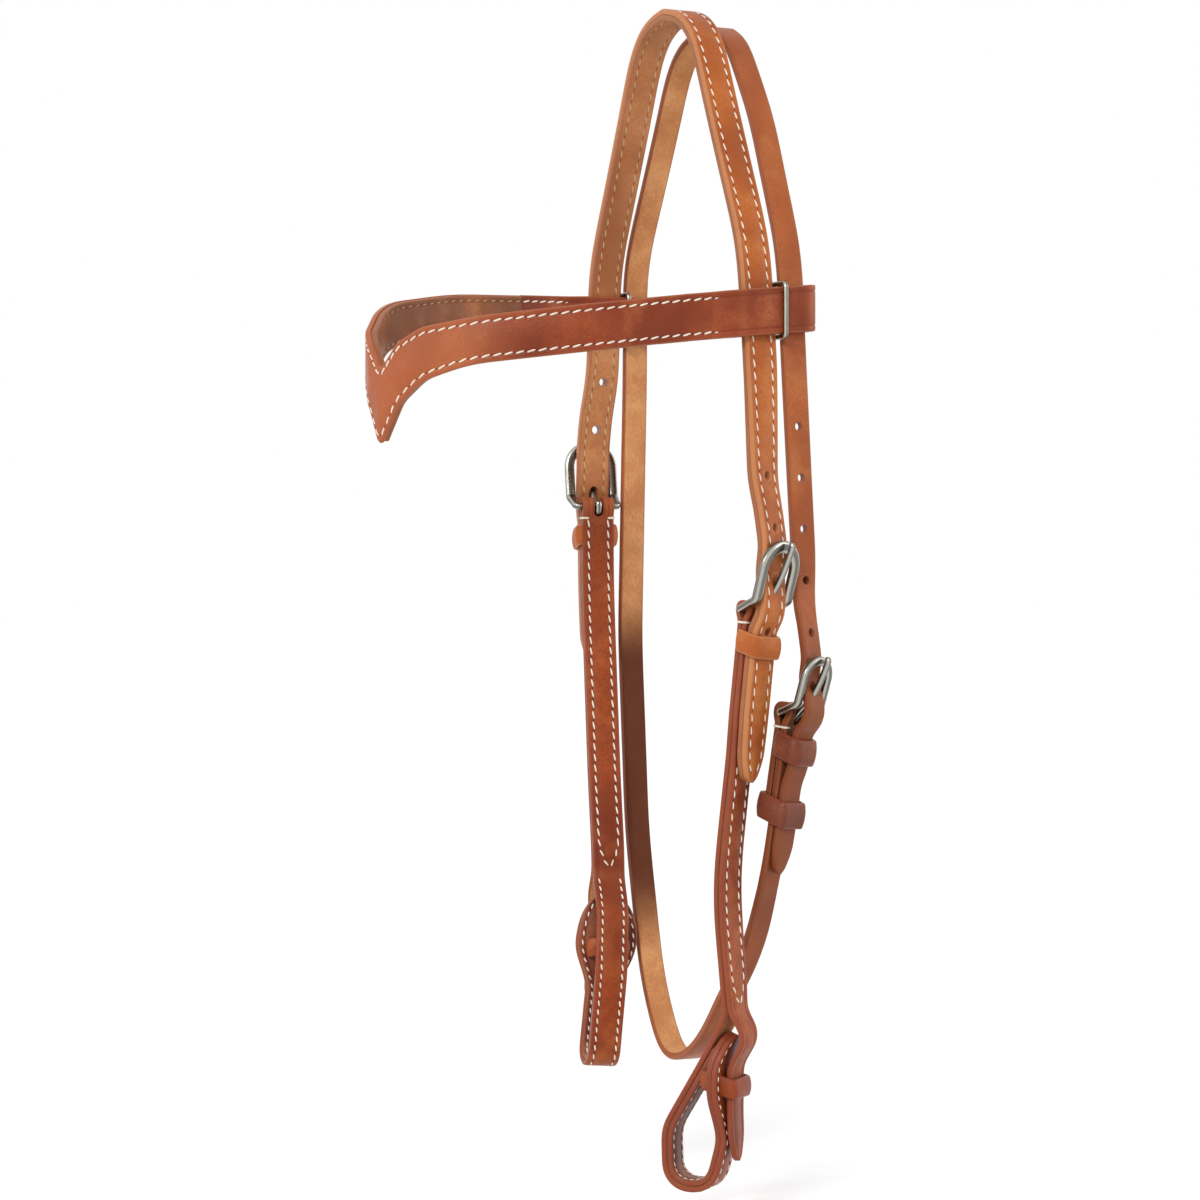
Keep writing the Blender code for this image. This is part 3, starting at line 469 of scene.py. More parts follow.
# %% [markdown]
# The leather is vegetable tanned and oiled: a warm red brown that is lighter where it has been
# handled and bent, darker and smoother on the burnished edges, with a fine pebbled grain. The
# flesh side is a paler, fibrous tan. The patterns are small shader groups, so that each strap can
# use them with its own colours.


# %% shorthand for shader nodes
def node(tree, kind, **settings):
    """A new node with its settings."""
    made = tree.nodes.new(kind)
    for key, value in settings.items():
        setattr(made, key, value)
    return made


def feed(tree, value, socket):
    """Link an output, or write a plain value, into a socket."""
    if isinstance(value, bpy.types.NodeSocket):
        tree.links.new(value, socket)
    else:
        socket.default_value = value


def sums(tree, operation, a, b, clamp=False):
    """One step of arithmetic."""
    made = node(tree, "ShaderNodeMath", operation=operation, use_clamp=clamp)
    feed(tree, a, made.inputs[0])
    feed(tree, b, made.inputs[1])
    return made.outputs[0]


def plus(tree, a, b):
    """One value and another."""
    return sums(tree, "ADD", a, b)


def times(tree, a, b):
    """One value times another."""
    return sums(tree, "MULTIPLY", a, b)


def blend(tree, share, a, b):
    """Mix two colours."""
    made = node(tree, "ShaderNodeMix", data_type="RGBA")
    feed(tree, share, made.inputs["Factor"])
    feed(tree, a, made.inputs[6])
    feed(tree, b, made.inputs[7])
    return made.outputs[2]


def darker(colour, share):
    """A share of a colour."""
    return tuple(c * share for c in colour[:3]) + (1,)


def spread(tree, value, low, high, to_low=0.0, to_high=1.0):
    """Stretch a range of values smoothly onto another."""
    made = node(tree, "ShaderNodeMapRange", interpolation_type="SMOOTHSTEP")
    for key, item in zip(("Value", "From Min", "From Max", "To Min", "To Max"),
                         (value, low, high, to_low, to_high)):
        feed(tree, item, made.inputs[key])
    return made.outputs["Result"]


def noise(tree, where, scale, detail=3.0, rough=0.55):
    """A noise pattern's value."""
    made = node(tree, "ShaderNodeTexNoise")
    for key, item in zip(("Vector", "Scale", "Detail", "Roughness"),
                         (where, scale, detail, rough)):
        feed(tree, item, made.inputs[key])
    return made.outputs["Fac"]


def group(name, inputs, outputs):
    """A node group with named sockets, and both ends of it."""
    tree = bpy.data.node_groups.new(name, "ShaderNodeTree")
    for kind, sockets in (("INPUT", inputs), ("OUTPUT", outputs)):
        for label, socket in sockets.items():
            tree.interface.new_socket(label, in_out=kind, socket_type=socket)
    return tree, node(tree, "NodeGroupInput").outputs, node(tree, "NodeGroupOutput").inputs


def use(tree, shared, **values):
    """Place a shared group in a material, with its own values."""
    made = node(tree, "ShaderNodeGroup", node_tree=shared)
    for key, value in values.items():
        feed(tree, value, made.inputs[key])
    return made.outputs


FLOAT, COLOUR, PLACE = "NodeSocketFloat", "NodeSocketColor", "NodeSocketVector"

# %% group: pebbled grain
PEBBLE_SOFT = 0.6
FINE_SCALE, FINE_DETAIL = 1.7, 4.0
DOME_SHARE, FINE_SHARE = 0.65, 0.5
CREASE_RANGE = (0.35, 0.75)


def make_grain():
    """Close pebbles with soft creases between them, and how deep in a crease a point lies."""
    tree, into, out = group("leather grain", {"Place": PLACE, "Pebbles": FLOAT},
                            {"Height": FLOAT, "Crease": FLOAT})
    cells = node(tree, "ShaderNodeTexVoronoi", feature="SMOOTH_F1")
    cells.inputs["Smoothness"].default_value = PEBBLE_SOFT
    feed(tree, into["Place"], cells.inputs["Vector"])
    feed(tree, into["Pebbles"], cells.inputs["Scale"])
    small = noise(tree, into["Place"], times(tree, into["Pebbles"], FINE_SCALE), FINE_DETAIL)
    dome = sums(tree, "SUBTRACT", 1.0, cells.outputs["Distance"], True)
    height = plus(tree, times(tree, dome, DOME_SHARE), times(tree, small, FINE_SHARE))
    feed(tree, height, out["Height"])
    feed(tree, spread(tree, cells.outputs["Distance"], *CREASE_RANGE), out["Crease"])
    return tree


# %% group: uneven dye
CLOUDS, CLOUDS_RANGE = (20.0, 2.0), (0.36, 0.64)
MOTTLING, MOTTLING_RANGE, MOTTLING_SHARE = (170.0, 5.0, 0.65), (0.38, 0.66), 0.4
HANDLED, HANDLED_RANGE, HANDLED_SHARE = (42.0, 3.0), (0.48, 0.72), 0.55


def make_dye():
    """Dye that took unevenly: broad clouds, small mottling and a few paler handled patches."""
    tree, into, out = group("uneven dye", {"Place": PLACE, "Dark": COLOUR, "Middle": COLOUR,
                                           "Light": COLOUR}, {"Colour": COLOUR})
    broad, small, patches = [spread(tree, noise(tree, into["Place"], *pattern), *limits)
                             for pattern, limits in ((CLOUDS, CLOUDS_RANGE),
                                                     (MOTTLING, MOTTLING_RANGE),
                                                     (HANDLED, HANDLED_RANGE))]
    colour = blend(tree, broad, into["Dark"], into["Middle"])
    colour = blend(tree, times(tree, small, MOTTLING_SHARE), colour, into["Dark"])
    colour = blend(tree, times(tree, patches, HANDLED_SHARE), colour, into["Light"])
    feed(tree, colour, out["Colour"])
    return tree


# %% group: flesh side fibres
FIBRE_STRETCH = (1.0, 1.0, 0.35)
FIBRES, FIBRES_SHARE = (1500.0, 4.0, 0.65), 0.45
TUFTS, TUFTS_SHARE, TUFTS_HEIGHT = (55.0, 3.0), 0.55, 0.5
STREAK_RANGE = (0.36, 0.66)


def stretched(tree, where, by):
    """A place made longer or shorter along each way, to draw a pattern out."""
    made = node(tree, "ShaderNodeVectorMath", operation="MULTIPLY")
    feed(tree, where, made.inputs[0])
    feed(tree, by, made.inputs[1])
    return made.outputs[0]


def make_fibres():
    """Short matted fibres, mostly along the strap, as paler and darker streaks."""
    tree, into, out = group("flesh fibres", {"Place": PLACE}, {"Height": FLOAT, "Streak": FLOAT})
    streak = noise(tree, stretched(tree, into["Place"], FIBRE_STRETCH), *FIBRES)
    clouds = noise(tree, into["Place"], *TUFTS)
    feed(tree, plus(tree, streak, times(tree, clouds, TUFTS_HEIGHT)), out["Height"])
    both = plus(tree, times(tree, streak, FIBRES_SHARE), times(tree, clouds, TUFTS_SHARE))
    feed(tree, spread(tree, both, *STREAK_RANGE), out["Streak"])
    return tree


grain_group, dye_group, fibre_group = make_grain(), make_dye(), make_fibres()


# %% what every material starts with
def mark(tree, name):
    """A number that the sweep left on the mesh."""
    return node(tree, "ShaderNodeAttribute", attribute_name=name).outputs["Fac"]


def new_material(name):
    """An empty material with its Principled shader, its nodes and object coordinates."""
    made = bpy.data.materials.new(name)
    made.use_nodes = True
    tree = made.node_tree
    shader = tree.nodes["Principled BSDF"]
    where = node(tree, "ShaderNodeTexCoord").outputs["Object"]
    return made, tree, shader, where


def bump(tree, shader, height, depth):
    """Relief on the surface from a height."""
    made = node(tree, "ShaderNodeBump")
    made.inputs["Distance"].default_value = depth
    made.inputs["Strength"].default_value = 1.0
    feed(tree, height, made.inputs["Height"])
    feed(tree, made.outputs["Normal"], shader.inputs["Normal"])


# %% leather material
EDGE_RED = (0.27, 0.06, 0.027, 1)
# Colour of a painted shadow on the throatlatch.
SHADOW_COLOUR = (0.1, 0.02, 0.007, 1)
FLESH_DARK = (0.44, 0.175, 0.058, 1)
FLESH_PALE = (0.6, 0.265, 0.1, 1)
# Heights of the painted shadow band on the throatlatch, and its strength on the grain and flesh
# faces.
SHADOW_HEIGHTS = (-0.454, -0.409, -0.304, -0.269)
SHADOW_ON_GRAIN, SHADOW_ON_FLESH = 0.45, 0.5
# Where the painted highlight on the browband's front lies, by depth, and how strong it is.
FRONT_HIGHLIGHT_Y, FRONT_HIGHLIGHT_SHARE = (-0.135, -0.1), 0.55
CREASE_SHADE, GROOVE_SHADE, EDGE_SHARE = 0.35, 0.6, 0.75
BENT_RANGE, BENT_SHARE = (15.0, 160.0), 0.5
FLESH_SIDE = (-0.7, -0.3)
BURNISHED = 0.9 * MM
RAGGED, RAGGED_BY = 600.0, 0.5 * MM
SHEEN, SHEEN_RANGE, SHEEN_ROUGH = (90.0, 4.0), (0.3, 0.7), (0.36, 0.5)
EDGE_SMOOTHER, FLESH_ROUGHER = 0.08, 0.36
RELIEF = 0.16 * MM
GLOSS = 0.24


def leather(name, dark, middle, light, flesh_dark=FLESH_DARK, flesh_pale=FLESH_PALE,
            edge=EDGE_RED, pebbles=950.0, shadow_band=None, highlight_zone=None):
    """Oiled leather: dyed grain face with painted shade in its creases and stitch channels,
    burnished edges, fibrous flesh face, and when asked for, a painted shadow band and a painted
    highlight on the front.
    """
    made, tree, shader, where = new_material(name)
    grain = use(tree, grain_group, Place=where, Pebbles=pebbles)
    dye = use(tree, dye_group, Place=where, Dark=dark, Middle=middle, Light=light)
    fibres = use(tree, fibre_group, Place=where)
    # Painted shade: the grain's creases are darkened towards the dark colour.
    colour = blend(tree, times(tree, grain["Crease"], CREASE_SHADE), dye["Colour"], dark)
    bent = spread(tree, mark(tree, "bend"), *BENT_RANGE, 0.0, BENT_SHARE)
    colour = blend(tree, bent, colour, light)
    # Painted shade: the stitch channels and the crease along each layer's flesh edge are darkened.
    colour = blend(tree, times(tree, mark(tree, "groove"), GROOVE_SHADE), colour, dark)
    is_flesh = spread(tree, mark(tree, "side"), *FLESH_SIDE, 1.0, 0.0)
    colour = blend(tree, is_flesh, colour, blend(tree, fibres["Streak"], flesh_dark, flesh_pale))
    ragged = plus(tree, mark(tree, "rim"), times(tree, noise(tree, where, RAGGED), -RAGGED_BY))
    worn_edge = spread(tree, ragged, 0.0, BURNISHED, 1.0, 0.0)
    colour = blend(tree, times(tree, worn_edge, EDGE_SHARE), colour, edge)
    split = node(tree, "ShaderNodeSeparateXYZ")
    feed(tree, where, split.inputs[0])
    # Painted shadow: a darker band between two heights, where the throatlatch lies in shade,
    # stronger on the flesh face.
    if shadow_band:
        painted_shadow = times(tree, spread(tree, split.outputs["Z"], *shadow_band[:2]),
                     spread(tree, split.outputs["Z"], *shadow_band[2:], 1.0, 0.0))
        shadow_by_side = plus(tree, SHADOW_ON_GRAIN, times(tree, is_flesh, SHADOW_ON_FLESH))
        colour = blend(tree, times(tree, painted_shadow, shadow_by_side), colour, SHADOW_COLOUR)
    # Painted highlight: the strap is made lighter towards the front, standing for the sheen where
    # the front light falls on it.
    if highlight_zone:
        front_highlight = spread(tree, split.outputs["Y"], *highlight_zone, FRONT_HIGHLIGHT_SHARE, 0.0)
        colour = blend(tree, front_highlight, colour, light)
    feed(tree, colour, shader.inputs["Base Color"])
    rough = spread(tree, noise(tree, where, *SHEEN), *SHEEN_RANGE, *SHEEN_ROUGH)
    rough = sums(tree, "SUBTRACT", rough, times(tree, worn_edge, EDGE_SMOOTHER))
    rough = sums(tree, "ADD", rough, times(tree, is_flesh, FLESH_ROUGHER), True)
    feed(tree, rough, shader.inputs["Roughness"])
    smooth = sums(tree, "SUBTRACT", 1.0, sums(tree, "MAXIMUM", worn_edge, is_flesh))
    bump(tree, shader, plus(tree, times(tree, grain["Height"], smooth),
                            times(tree, fibres["Height"], is_flesh)), RELIEF)
    shader.inputs["Specular IOR Level"].default_value = GLOSS
    return made


red_brown = leather("oiled red brown leather", (0.2, 0.032, 0.008, 1), (0.36, 0.068, 0.015, 1),
                    (0.53, 0.145, 0.04, 1))
# The browband gets a painted highlight on its front.
brow_brown = leather("browband leather", (0.19, 0.03, 0.009, 1), (0.35, 0.066, 0.018, 1),
                     (0.52, 0.15, 0.055, 1), edge=(0.4, 0.11, 0.04, 1), highlight_zone=FRONT_HIGHLIGHT_Y)
keeper_brown = leather("dark keeper leather", (0.15, 0.035, 0.016, 1), (0.27, 0.07, 0.032, 1),
                       (0.4, 0.13, 0.06, 1))
orange_tan = leather("oiled orange tan leather", (0.36, 0.08, 0.014, 1), (0.53, 0.142, 0.026, 1),
                     (0.66, 0.235, 0.055, 1), edge=(0.56, 0.23, 0.09, 1))
# The throatlatch gets a painted shadow band.
throat_tan = leather("throatlatch leather", (0.33, 0.076, 0.018, 1), (0.48, 0.125, 0.03, 1),
                     (0.54, 0.19, 0.06, 1), flesh_dark=(0.53, 0.21, 0.075, 1),
                     flesh_pale=(0.76, 0.37, 0.155, 1), edge=(0.33, 0.1, 0.04, 1), shadow_band=SHADOW_HEIGHTS)
tan_lining = leather("tan lining leather", (0.36, 0.12, 0.04, 1), (0.56, 0.225, 0.085, 1),
                     (0.7, 0.34, 0.145, 1), edge=(0.33, 0.11, 0.045, 1))
brow_lining = leather("rough browband lining", (0.2, 0.06, 0.018, 1), (0.42, 0.14, 0.045, 1),
                      (0.55, 0.21, 0.075, 1), edge=(0.36, 0.12, 0.05, 1), pebbles=500.0)
loop_lining = leather("oiled loop lining leather", (0.13, 0.027, 0.012, 1), (0.25, 0.06, 0.026, 1),
                      (0.4, 0.13, 0.055, 1))
print("leathers:", red_brown.name, orange_tan.name, tan_lining.name, loop_lining.name)

# %% [markdown]
# The thread is thick waxed cord in off white, sewn by machine: a long stitch, a dark needle hole,
# a long stitch. Each one is a small rounded bead sunk in its channel, because the rows catch the
# light and cast small shadows that a painted line would not.

# %% thread and needle hole materials
GRIME, GRIME_RANGE, GRIME_SHARE = (260.0, 4.0), (0.4, 0.75), 0.5
TWIST, TWIST_RELIEF = (2600.0, 2.0), 0.1 * MM
HOLE_SPECKS, HOLE_DARK = 700.0, 0.5
THREAD_ROUGH, HOLE_ROUGH = 0.62, 0.8


def thread_material(name, clean, grimy):
    """Waxed thread with a slight twist and some grime."""
    made, tree, shader, where = new_material(name)
    grime = spread(tree, noise(tree, where, *GRIME), *GRIME_RANGE)
    colour = blend(tree, times(tree, grime, GRIME_SHARE), clean, grimy)
    feed(tree, colour, shader.inputs["Base Color"])
    shader.inputs["Roughness"].default_value = THREAD_ROUGH
    bump(tree, shader, noise(tree, where, *TWIST), TWIST_RELIEF)
    return made


def plain_dark(name, colour):
    """Shadowed leather inside a hole, with faint variation."""
    made, tree, shader, where = new_material(name)
    speckled = blend(tree, noise(tree, where, HOLE_SPECKS), colour, darker(colour, HOLE_DARK))
    feed(tree, speckled, shader.inputs["Base Color"])
    shader.inputs["Roughness"].default_value = HOLE_ROUGH
    return made


thread = thread_material("waxed off-white thread", (0.93, 0.86, 0.74, 1), (0.7, 0.5, 0.33, 1))
oiled_thread = thread_material("thread stained by the flesh side", (0.62, 0.45, 0.25, 1),
                               (0.42, 0.24, 0.11, 1))
needle_dark = plain_dark("needle hole", (0.09, 0.025, 0.01, 1))

# %% one stitch
BEAD_RINGS = 7
BEAD_SIDES = 8
BEAD_POWER = 3
BEAD_END = 0.25


def bead(length, radius, arch):
    """A stitch of thread: a rounded rod that dives at both ends."""
    points = []
    for i in range(BEAD_RINGS):
        t = 2 * i / (BEAD_RINGS - 1) - 1
        r = radius * max(math.sqrt(1 - abs(t) ** BEAD_POWER), BEAD_END)
        for j in range(BEAD_SIDES):
            a = 2 * math.pi * j / BEAD_SIDES
            points.append((t * length / 2, r * math.cos(a), r * math.sin(a) - arch * t * t))
    return np.array(points), tube_faces(BEAD_RINGS, BEAD_SIDES)


# %% rows of stitches
THREAD_RADIUS = 0.43 * MM
NEEDLE_RADIUS = 0.3 * MM
STITCH_SINK = 0.12 * MM
BACK_SINK = 0.24 * MM
STITCH_ARCH = 0.6
SLANT = 12 * DEG
SEW_STEP = 0.4 * MM
THREAD_LOOK, HOLE_LOOK, OILED_LOOK = 0, 1, 2


def sew(name, places, runs, pitch, dash, body="straps", stained=True):
    """Rows of stitches, as runs of (start, end, place across at s, height of the face).

    A height below nought is the back, where oil has stained the thread unless told otherwise.
    """
    centre, across, off = places
    gone = gone_along(centre)
    stitch = bead(dash, THREAD_RADIUS, THREAD_RADIUS * STITCH_ARCH)
    hole = bead(max(pitch - dash, MM / 2), NEEDLE_RADIUS, 0)
    points, faces, looks = [], [], []

    def at(rows, s):
        """What the rows say at s along the strap."""
        return np.array([np.interp(s, gone, rows[:, k]) for k in range(3)])

    def lay(shape, s, aside, run, high, look, sink):
        """One bead at s along and aside across the strap, turned a little off its row."""
        ahead = unit(at(centre, s + MM) - at(centre, s - MM))
        side = unit(at(across, s))
        up = unit(at(off, s)) * math.copysign(1, high)
        run = unit(ahead * run[0] + side * run[1])
        run = unit(run + np.cross(up, run) * math.tan(0 if look == HOLE_LOOK else SLANT))
        where = at(centre, s) + side * aside + up * (abs(high) - sink)
        first = sum(len(p) for p in points)
        points.append(where + shape[0][:, :1] * run + shape[0][:, 1:2] * np.cross(up, run)
                      + shape[0][:, 2:] * up)
        faces.extend(tuple(first + k for k in f) for f in shape[1])
        looks.extend([look] * len(shape[1]))

    for start, end, place, high in runs:
        s = np.linspace(start, end, max(3, int((end - start) / SEW_STEP)))
        row = np.stack([s, [place(x) for x in s]], 1)
        way = gone_along(row)
        count = max(1, round(way[-1] / pitch))
        for i in range(1, 2 * count):
            here, before, after = [np.array([np.interp(d, way, row[:, k]) for k in range(2)])
                                   for d in way[-1] * i / (2 * count) + np.array([0, -MM, MM]) / 2]
            shape, look, sink = stitch, THREAD_LOOK, STITCH_SINK
            if i % 2 == 0:
                shape, look, sink = hole, HOLE_LOOK, CHANNEL_DEEP
            elif stained and high < 0:
                look, sink = OILED_LOOK, BACK_SINK
            lay(shape, here[0], here[1], after - before, high, look, sink)
    piece = mesh_piece(name, np.vstack(points), faces, [thread, needle_dark, oiled_thread])
    piece.data.polygons.foreach_set("material_index", looks)
    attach(piece, body)
    print(name, len(points) // 2, "stitches")
    return piece


# %% dress a piece
def dress(piece, body, *nodes):
    """Say which body a piece moves with and which solids it stands for."""
    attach(piece, body)
    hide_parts(*nodes)
    print(piece.name, len(piece.data.vertices), "points")
    return piece


# %% [markdown]
# The crown strap is two layers of leather sewn together. Both ends are billets: each runs inside
# the top of its buckle frame, out over the fold at the bar and down through the cheek's keeper. A
# path of its own says how far off the cheek the billet lies at each of those places.

# %% how a billet passes its buckle
BAR_RADIUS = 1.5 * MM
RAIL_WIDTH = 4.8 * MM
WIDE_RAIL = 5.8 * MM
RAIL_THICK = 2.6 * MM
TONGUE_RADIUS = 1.6 * MM
TONGUE_TIP_RADIUS = 1.4 * MM
FRAME_RISE = 30.0 * MM
FRAME_LEAN = 14.0 * MM
FRAME_SLACK = 0.4 * MM
OVER_BAR = 2.4 * MM
KNEE_UP = 5.0 * MM
KNEE_OUT = 10.0 * MM
NARROW_SHARE = 0.62
KEEPER_SLACK = 0.4 * MM
KEEPER_DROP = 10.0 * MM
KEEPER_TALL = 12.0 * MM
SNUG_KEEPER_TALL = 10.4 * MM
SLIDE_UP = 6.0 * MM
THROAT_LOOSE = 2.4 * MM
BILLET_TIP = 78.0 * MM
EASE_SHARE = 2.0
LOOSE_SHARE = 1.6
PAST_BAR = 2.0 * MM
ABOVE_KEEPER = 1.0 * MM
PAST_KEEPER = 3.0 * MM


def billet_path(bar, tip, thick, leg, rise, lean, keeper_top, keeper_end, loose=0):
    """From above the bar to the tip: in the frame's top, out over the fold, through the keeper."""
    half = thick / 2
    up = NARROW_SHARE * rise
    under = (KNEE_OUT + (lean - KNEE_OUT) * (up - KNEE_UP) / (rise - KNEE_UP)
             - RAIL_THICK / 2 - GAP - FRAME_SLACK - half)
    over_fold = BAR_RADIUS + 2 * GAP + leg + half + OVER_BAR + LOOSE_SHARE * loose
    in_keeper = GAP + leg + GAP + half + KEEPER_SLACK
    return [
        (bar - EASE_SHARE * rise, 0, 2 * WIDE_BEND),
        (bar - rise, under, BEND),
        (bar - up, under, BEND),
        (bar - KNEE_UP, over_fold, BEND),
        (bar + PAST_BAR, over_fold, BEND),
        (bar + keeper_top - ABOVE_KEEPER, in_keeper + loose, CLOSE_BEND),
        (bar + keeper_top + KEEPER_TALL + PAST_BAR, in_keeper + loose, BEND),
        (bar + keeper_end - KEEPER_TALL - SLIDE_UP, in_keeper, BEND),
        (bar + keeper_end + PAST_KEEPER, in_keeper, WIDE_BEND),
        (bar + tip, in_keeper - GAP, 0),
    ]


# %% widths and layers
SHARPEST = 0.5


def tip_share(t):
    """Share of the full width at a share t of the way in from a rounded tip."""
    return TIP_SHARE + (1 - TIP_SHARE) * math.sin(t * math.pi / 2)


def tapered(width, start, end):
    """Even width with a rounded point at either end: start and end are the tip lengths."""
    def half(s, total):
        """Half width at s along a strap of this length."""
        share = 1.0
        if start and s < start:
            share = min(share, tip_share(s / start))
        if end and total - s < end:
            share = min(share, tip_share((total - s) / end))
        return share * width / 2
    return half


def shifted(path, by):
    """The same path moved sideways, for a second layer."""
    out = []
    for i, p in enumerate(path):
        a = (p - path[i - 1]).normalized() if i else None
        b = (path[i + 1] - p).normalized() if i < len(path) - 1 else None
        a, b = a or b, b or a
        mid = (a + b).normalized()
        out.append(p + Vector((-mid.y, mid.x, 0)) * by / max(mid.dot(a), SHARPEST))
    return out


# %% [markdown]
# Holes are punched, so each one is cut out of the finished strap: a round rod for a billet's hole,
# a long slot for the tongue in a fold, and one more rod where the tongue goes through the crown.

# %% punch holes
HOLE_PITCH = 23.5 * MM
HOLE_ABOVE_BAR = 14.5 * MM
HOLE_RADIUS = 2.1 * MM
HOLE_SIDES = 28
PUNCH_IN = 10.0 * MM
PUNCH_OUT = 14.0 * MM


def prism(ring, ahead):
    """Points and faces of a solid drawn out from a ring of points."""
    return ring + [q + ahead for q in ring], tube_faces(2, len(ring))


def rod_between(start, end, radius):
    """Points and faces of a plain round rod."""
    side = (end - start).orthogonal().normalized() * radius
    up = (end - start).normalized().cross(side)
    turns = [2 * math.pi * j / HOLE_SIDES for j in range(HOLE_SIDES)]
    return prism([start + side * math.cos(a) + up * math.sin(a) for a in turns], end - start)


def cut_out(piece, cutters):
    """Take (points, faces) solids out of a piece for good."""
    points, faces = [], []
    for some_points, some_faces in cutters:
        faces += [tuple(k + len(points) for k in f) for f in some_faces]
        points += [tuple(p) for p in some_points]
    tool = mesh_piece("tool", points, faces, [])
    turn_out(tool)
    step = piece.modifiers.new("holes", "BOOLEAN")
    step.operation, step.solver, step.object = "DIFFERENCE", "EXACT", tool
    bpy.context.view_layer.update()
    mesh = bpy.data.meshes.new_from_object(piece.evaluated_get(
        bpy.context.evaluated_depsgraph_get()))
    piece.modifiers.clear()
    piece.data = mesh
    bpy.data.objects.remove(tool)
    mesh.set_sharp_from_angle(angle=SHARP)
    return piece


def hole_rods(line, places, radius=HOLE_RADIUS):
    """Rods for holes straight through a strap at places along its line."""
    rods = []
    for u in places:
        p, heading, across, off = line.frame(u)
        rods.append(rod_between(p - off * PUNCH_IN, p + off * PUNCH_OUT, radius))
    return rods


# %% the crown strap
down_near, down_off = [billet_path(bar, BILLET_TIP, CROWN_THICK, LAYER, FRAME_RISE, FRAME_LEAN,
                                   KEEPER_DROP, KEEPER_DROP + 3 * KEEPER_TALL)
                       for bar in (NEAR_BAR, OFF_BAR)]
crown_path = eased(flat([(-u, n, r) for u, n, r in reversed(down_off)] + down_near),
                   PATH_EASE, STEP)
crown_width = tapered(CROWN_WIDTH, POINT, POINT)
SEAM_CLOSED = 0.9
SEAM_FILL = LAYER + GAP * SEAM_CLOSED
crown_top = ribbon("crown_top", over_poll, shifted(crown_path, HALF_PAIR), crown_width, SEAM_FILL,
                   orange_tan)
crown_lining = ribbon("crown_lining", over_poll, shifted(crown_path, -HALF_PAIR), crown_width,
                      SEAM_FILL, tan_lining, grain=-1)

# %% stitching on the crown
crown_places, _ = strap_places(over_poll, crown_path)
crown_long = gone_along(crown_places[0])[-1]
CROWN_PITCH, CROWN_DASH = 5.8 * MM, 4.9 * MM


def inside_edge(width, total, hand, inset=STITCH_INSET):
    """Where a stitch row lies: a set distance inside the edge, meeting at the tips."""
    def place(s):
        """How far across the row lies at s."""
        return hand * max(width(min(max(s, 0), total), total) - inset, 0)
    return place


STITCH_FROM_TIP = 4.5 * MM
crown_runs = [(STITCH_FROM_TIP, crown_long - STITCH_FROM_TIP,
              inside_edge(crown_width, crown_long, hand), face * CROWN_THICK / 2)
              for hand in (-1, 1) for face in (-1, 1)]
sew("crown_stitching", crown_places, crown_runs, CROWN_PITCH, CROWN_DASH)

# %% [markdown]
# Each buckle is a horseshoe frame of satin stainless steel with a bar at its foot and a tongue
# curled round the bar. The frame leans off the strap so the billet can pass inside its top. It is
# swept from a closed rounded path: round at the bar, flat and wide at the crown of the horseshoe.

# %% satin steel
SMEAR, SMEAR_RANGE, SMEAR_SHARE = (130.0, 4.0, 0.6), (0.35, 0.7), 0.3
POLISH, POLISH_STRETCH = (2200.0, 3.0, 0.7), (1.0, 1.0, 0.08)
POLISH_ROUGH, POLISH_RELIEF = 0.08, 0.006 * MM
# Where the painted highlight on the corners lies, and how dark the flats are painted.
CORNER_HIGHLIGHT, FLAT_SHADE = (0.5, 1.1), 0.36


def steel_material(name, colour, low, high):
    """Satin steel: painted shade on its flats, a painted highlight on its corners, fine polishing
    marks.
    """
    made, tree, shader, where = new_material(name)
    smear = noise(tree, where, *SMEAR)
    marks = noise(tree, stretched(tree, where, POLISH_STRETCH), *POLISH)
    # Painted highlight on the section's corners and painted shade on its flats, broken up by the
    # smear noise.
    highlight_zone = spread(tree, plus(tree, mark(tree, "groove"), times(tree, smear, SMEAR_SHARE)),
                  *CORNER_HIGHLIGHT)
    feed(tree, blend(tree, highlight_zone, darker(colour, FLAT_SHADE), colour), shader.inputs["Base Color"])
    rough = plus(tree, spread(tree, smear, *SMEAR_RANGE, low, high),
                 times(tree, marks, POLISH_ROUGH))
    feed(tree, rough, shader.inputs["Roughness"])
    shader.inputs["Metallic"].default_value = 1.0
    bump(tree, shader, marks, POLISH_RELIEF)
    return made


satin_steel = steel_material("satin stainless steel", (0.46, 0.44, 0.39, 1), 0.18, 0.3)

# %% rods and frames of steel
ROD_SIDES = 20
ROD_RIM = 5.0 * MM


def rod(name, rows, closed, look, power=1.0):
    """A rod along rows of (centre, out, up) that carry its half sizes; a low power squares it."""
    ring = []
    for j in range(ROD_SIDES):
        a = 2 * math.pi * j / ROD_SIDES
        x, y = [math.copysign(abs(v) ** power, v) for v in (math.cos(a), math.sin(a))]
        # The last number is one at the section's corners; the steel material paints its highlight
        # there.
        ring.append((x, y, ROD_RIM, 1, abs(math.sin(2 * a))))
    places = [np.array([row[k] for row in rows]) for k in range(3)]
    return skin(name, places, [ring] * len(rows), closed, look)


def ring_path(corners):
    """A closed rounded path in a plane of its own, started in the middle of its first side."""
    first, last = Vector(corners[0][0]), Vector(corners[-1][0])
    start = (first + last) / 2
    return fine(rounded([(start, 0)] + list(corners) + [(start, 0)])[:-1], STEP)


def run_at(path, i):
    """Which way a closed path runs at its place number i."""
    return (path[(i + 1) % len(path)] - path[i - 1]).normalized()


def box_ring(inner, outer, low, high, low_corner, high_corner):
    """A closed path round a strap, from inner to outer across it and from low to high off it."""
    return ring_path([((inner, low, 0), low_corner), ((inner, high, 0), high_corner),
                      ((outer, high, 0), high_corner), ((outer, low, 0), low_corner)])


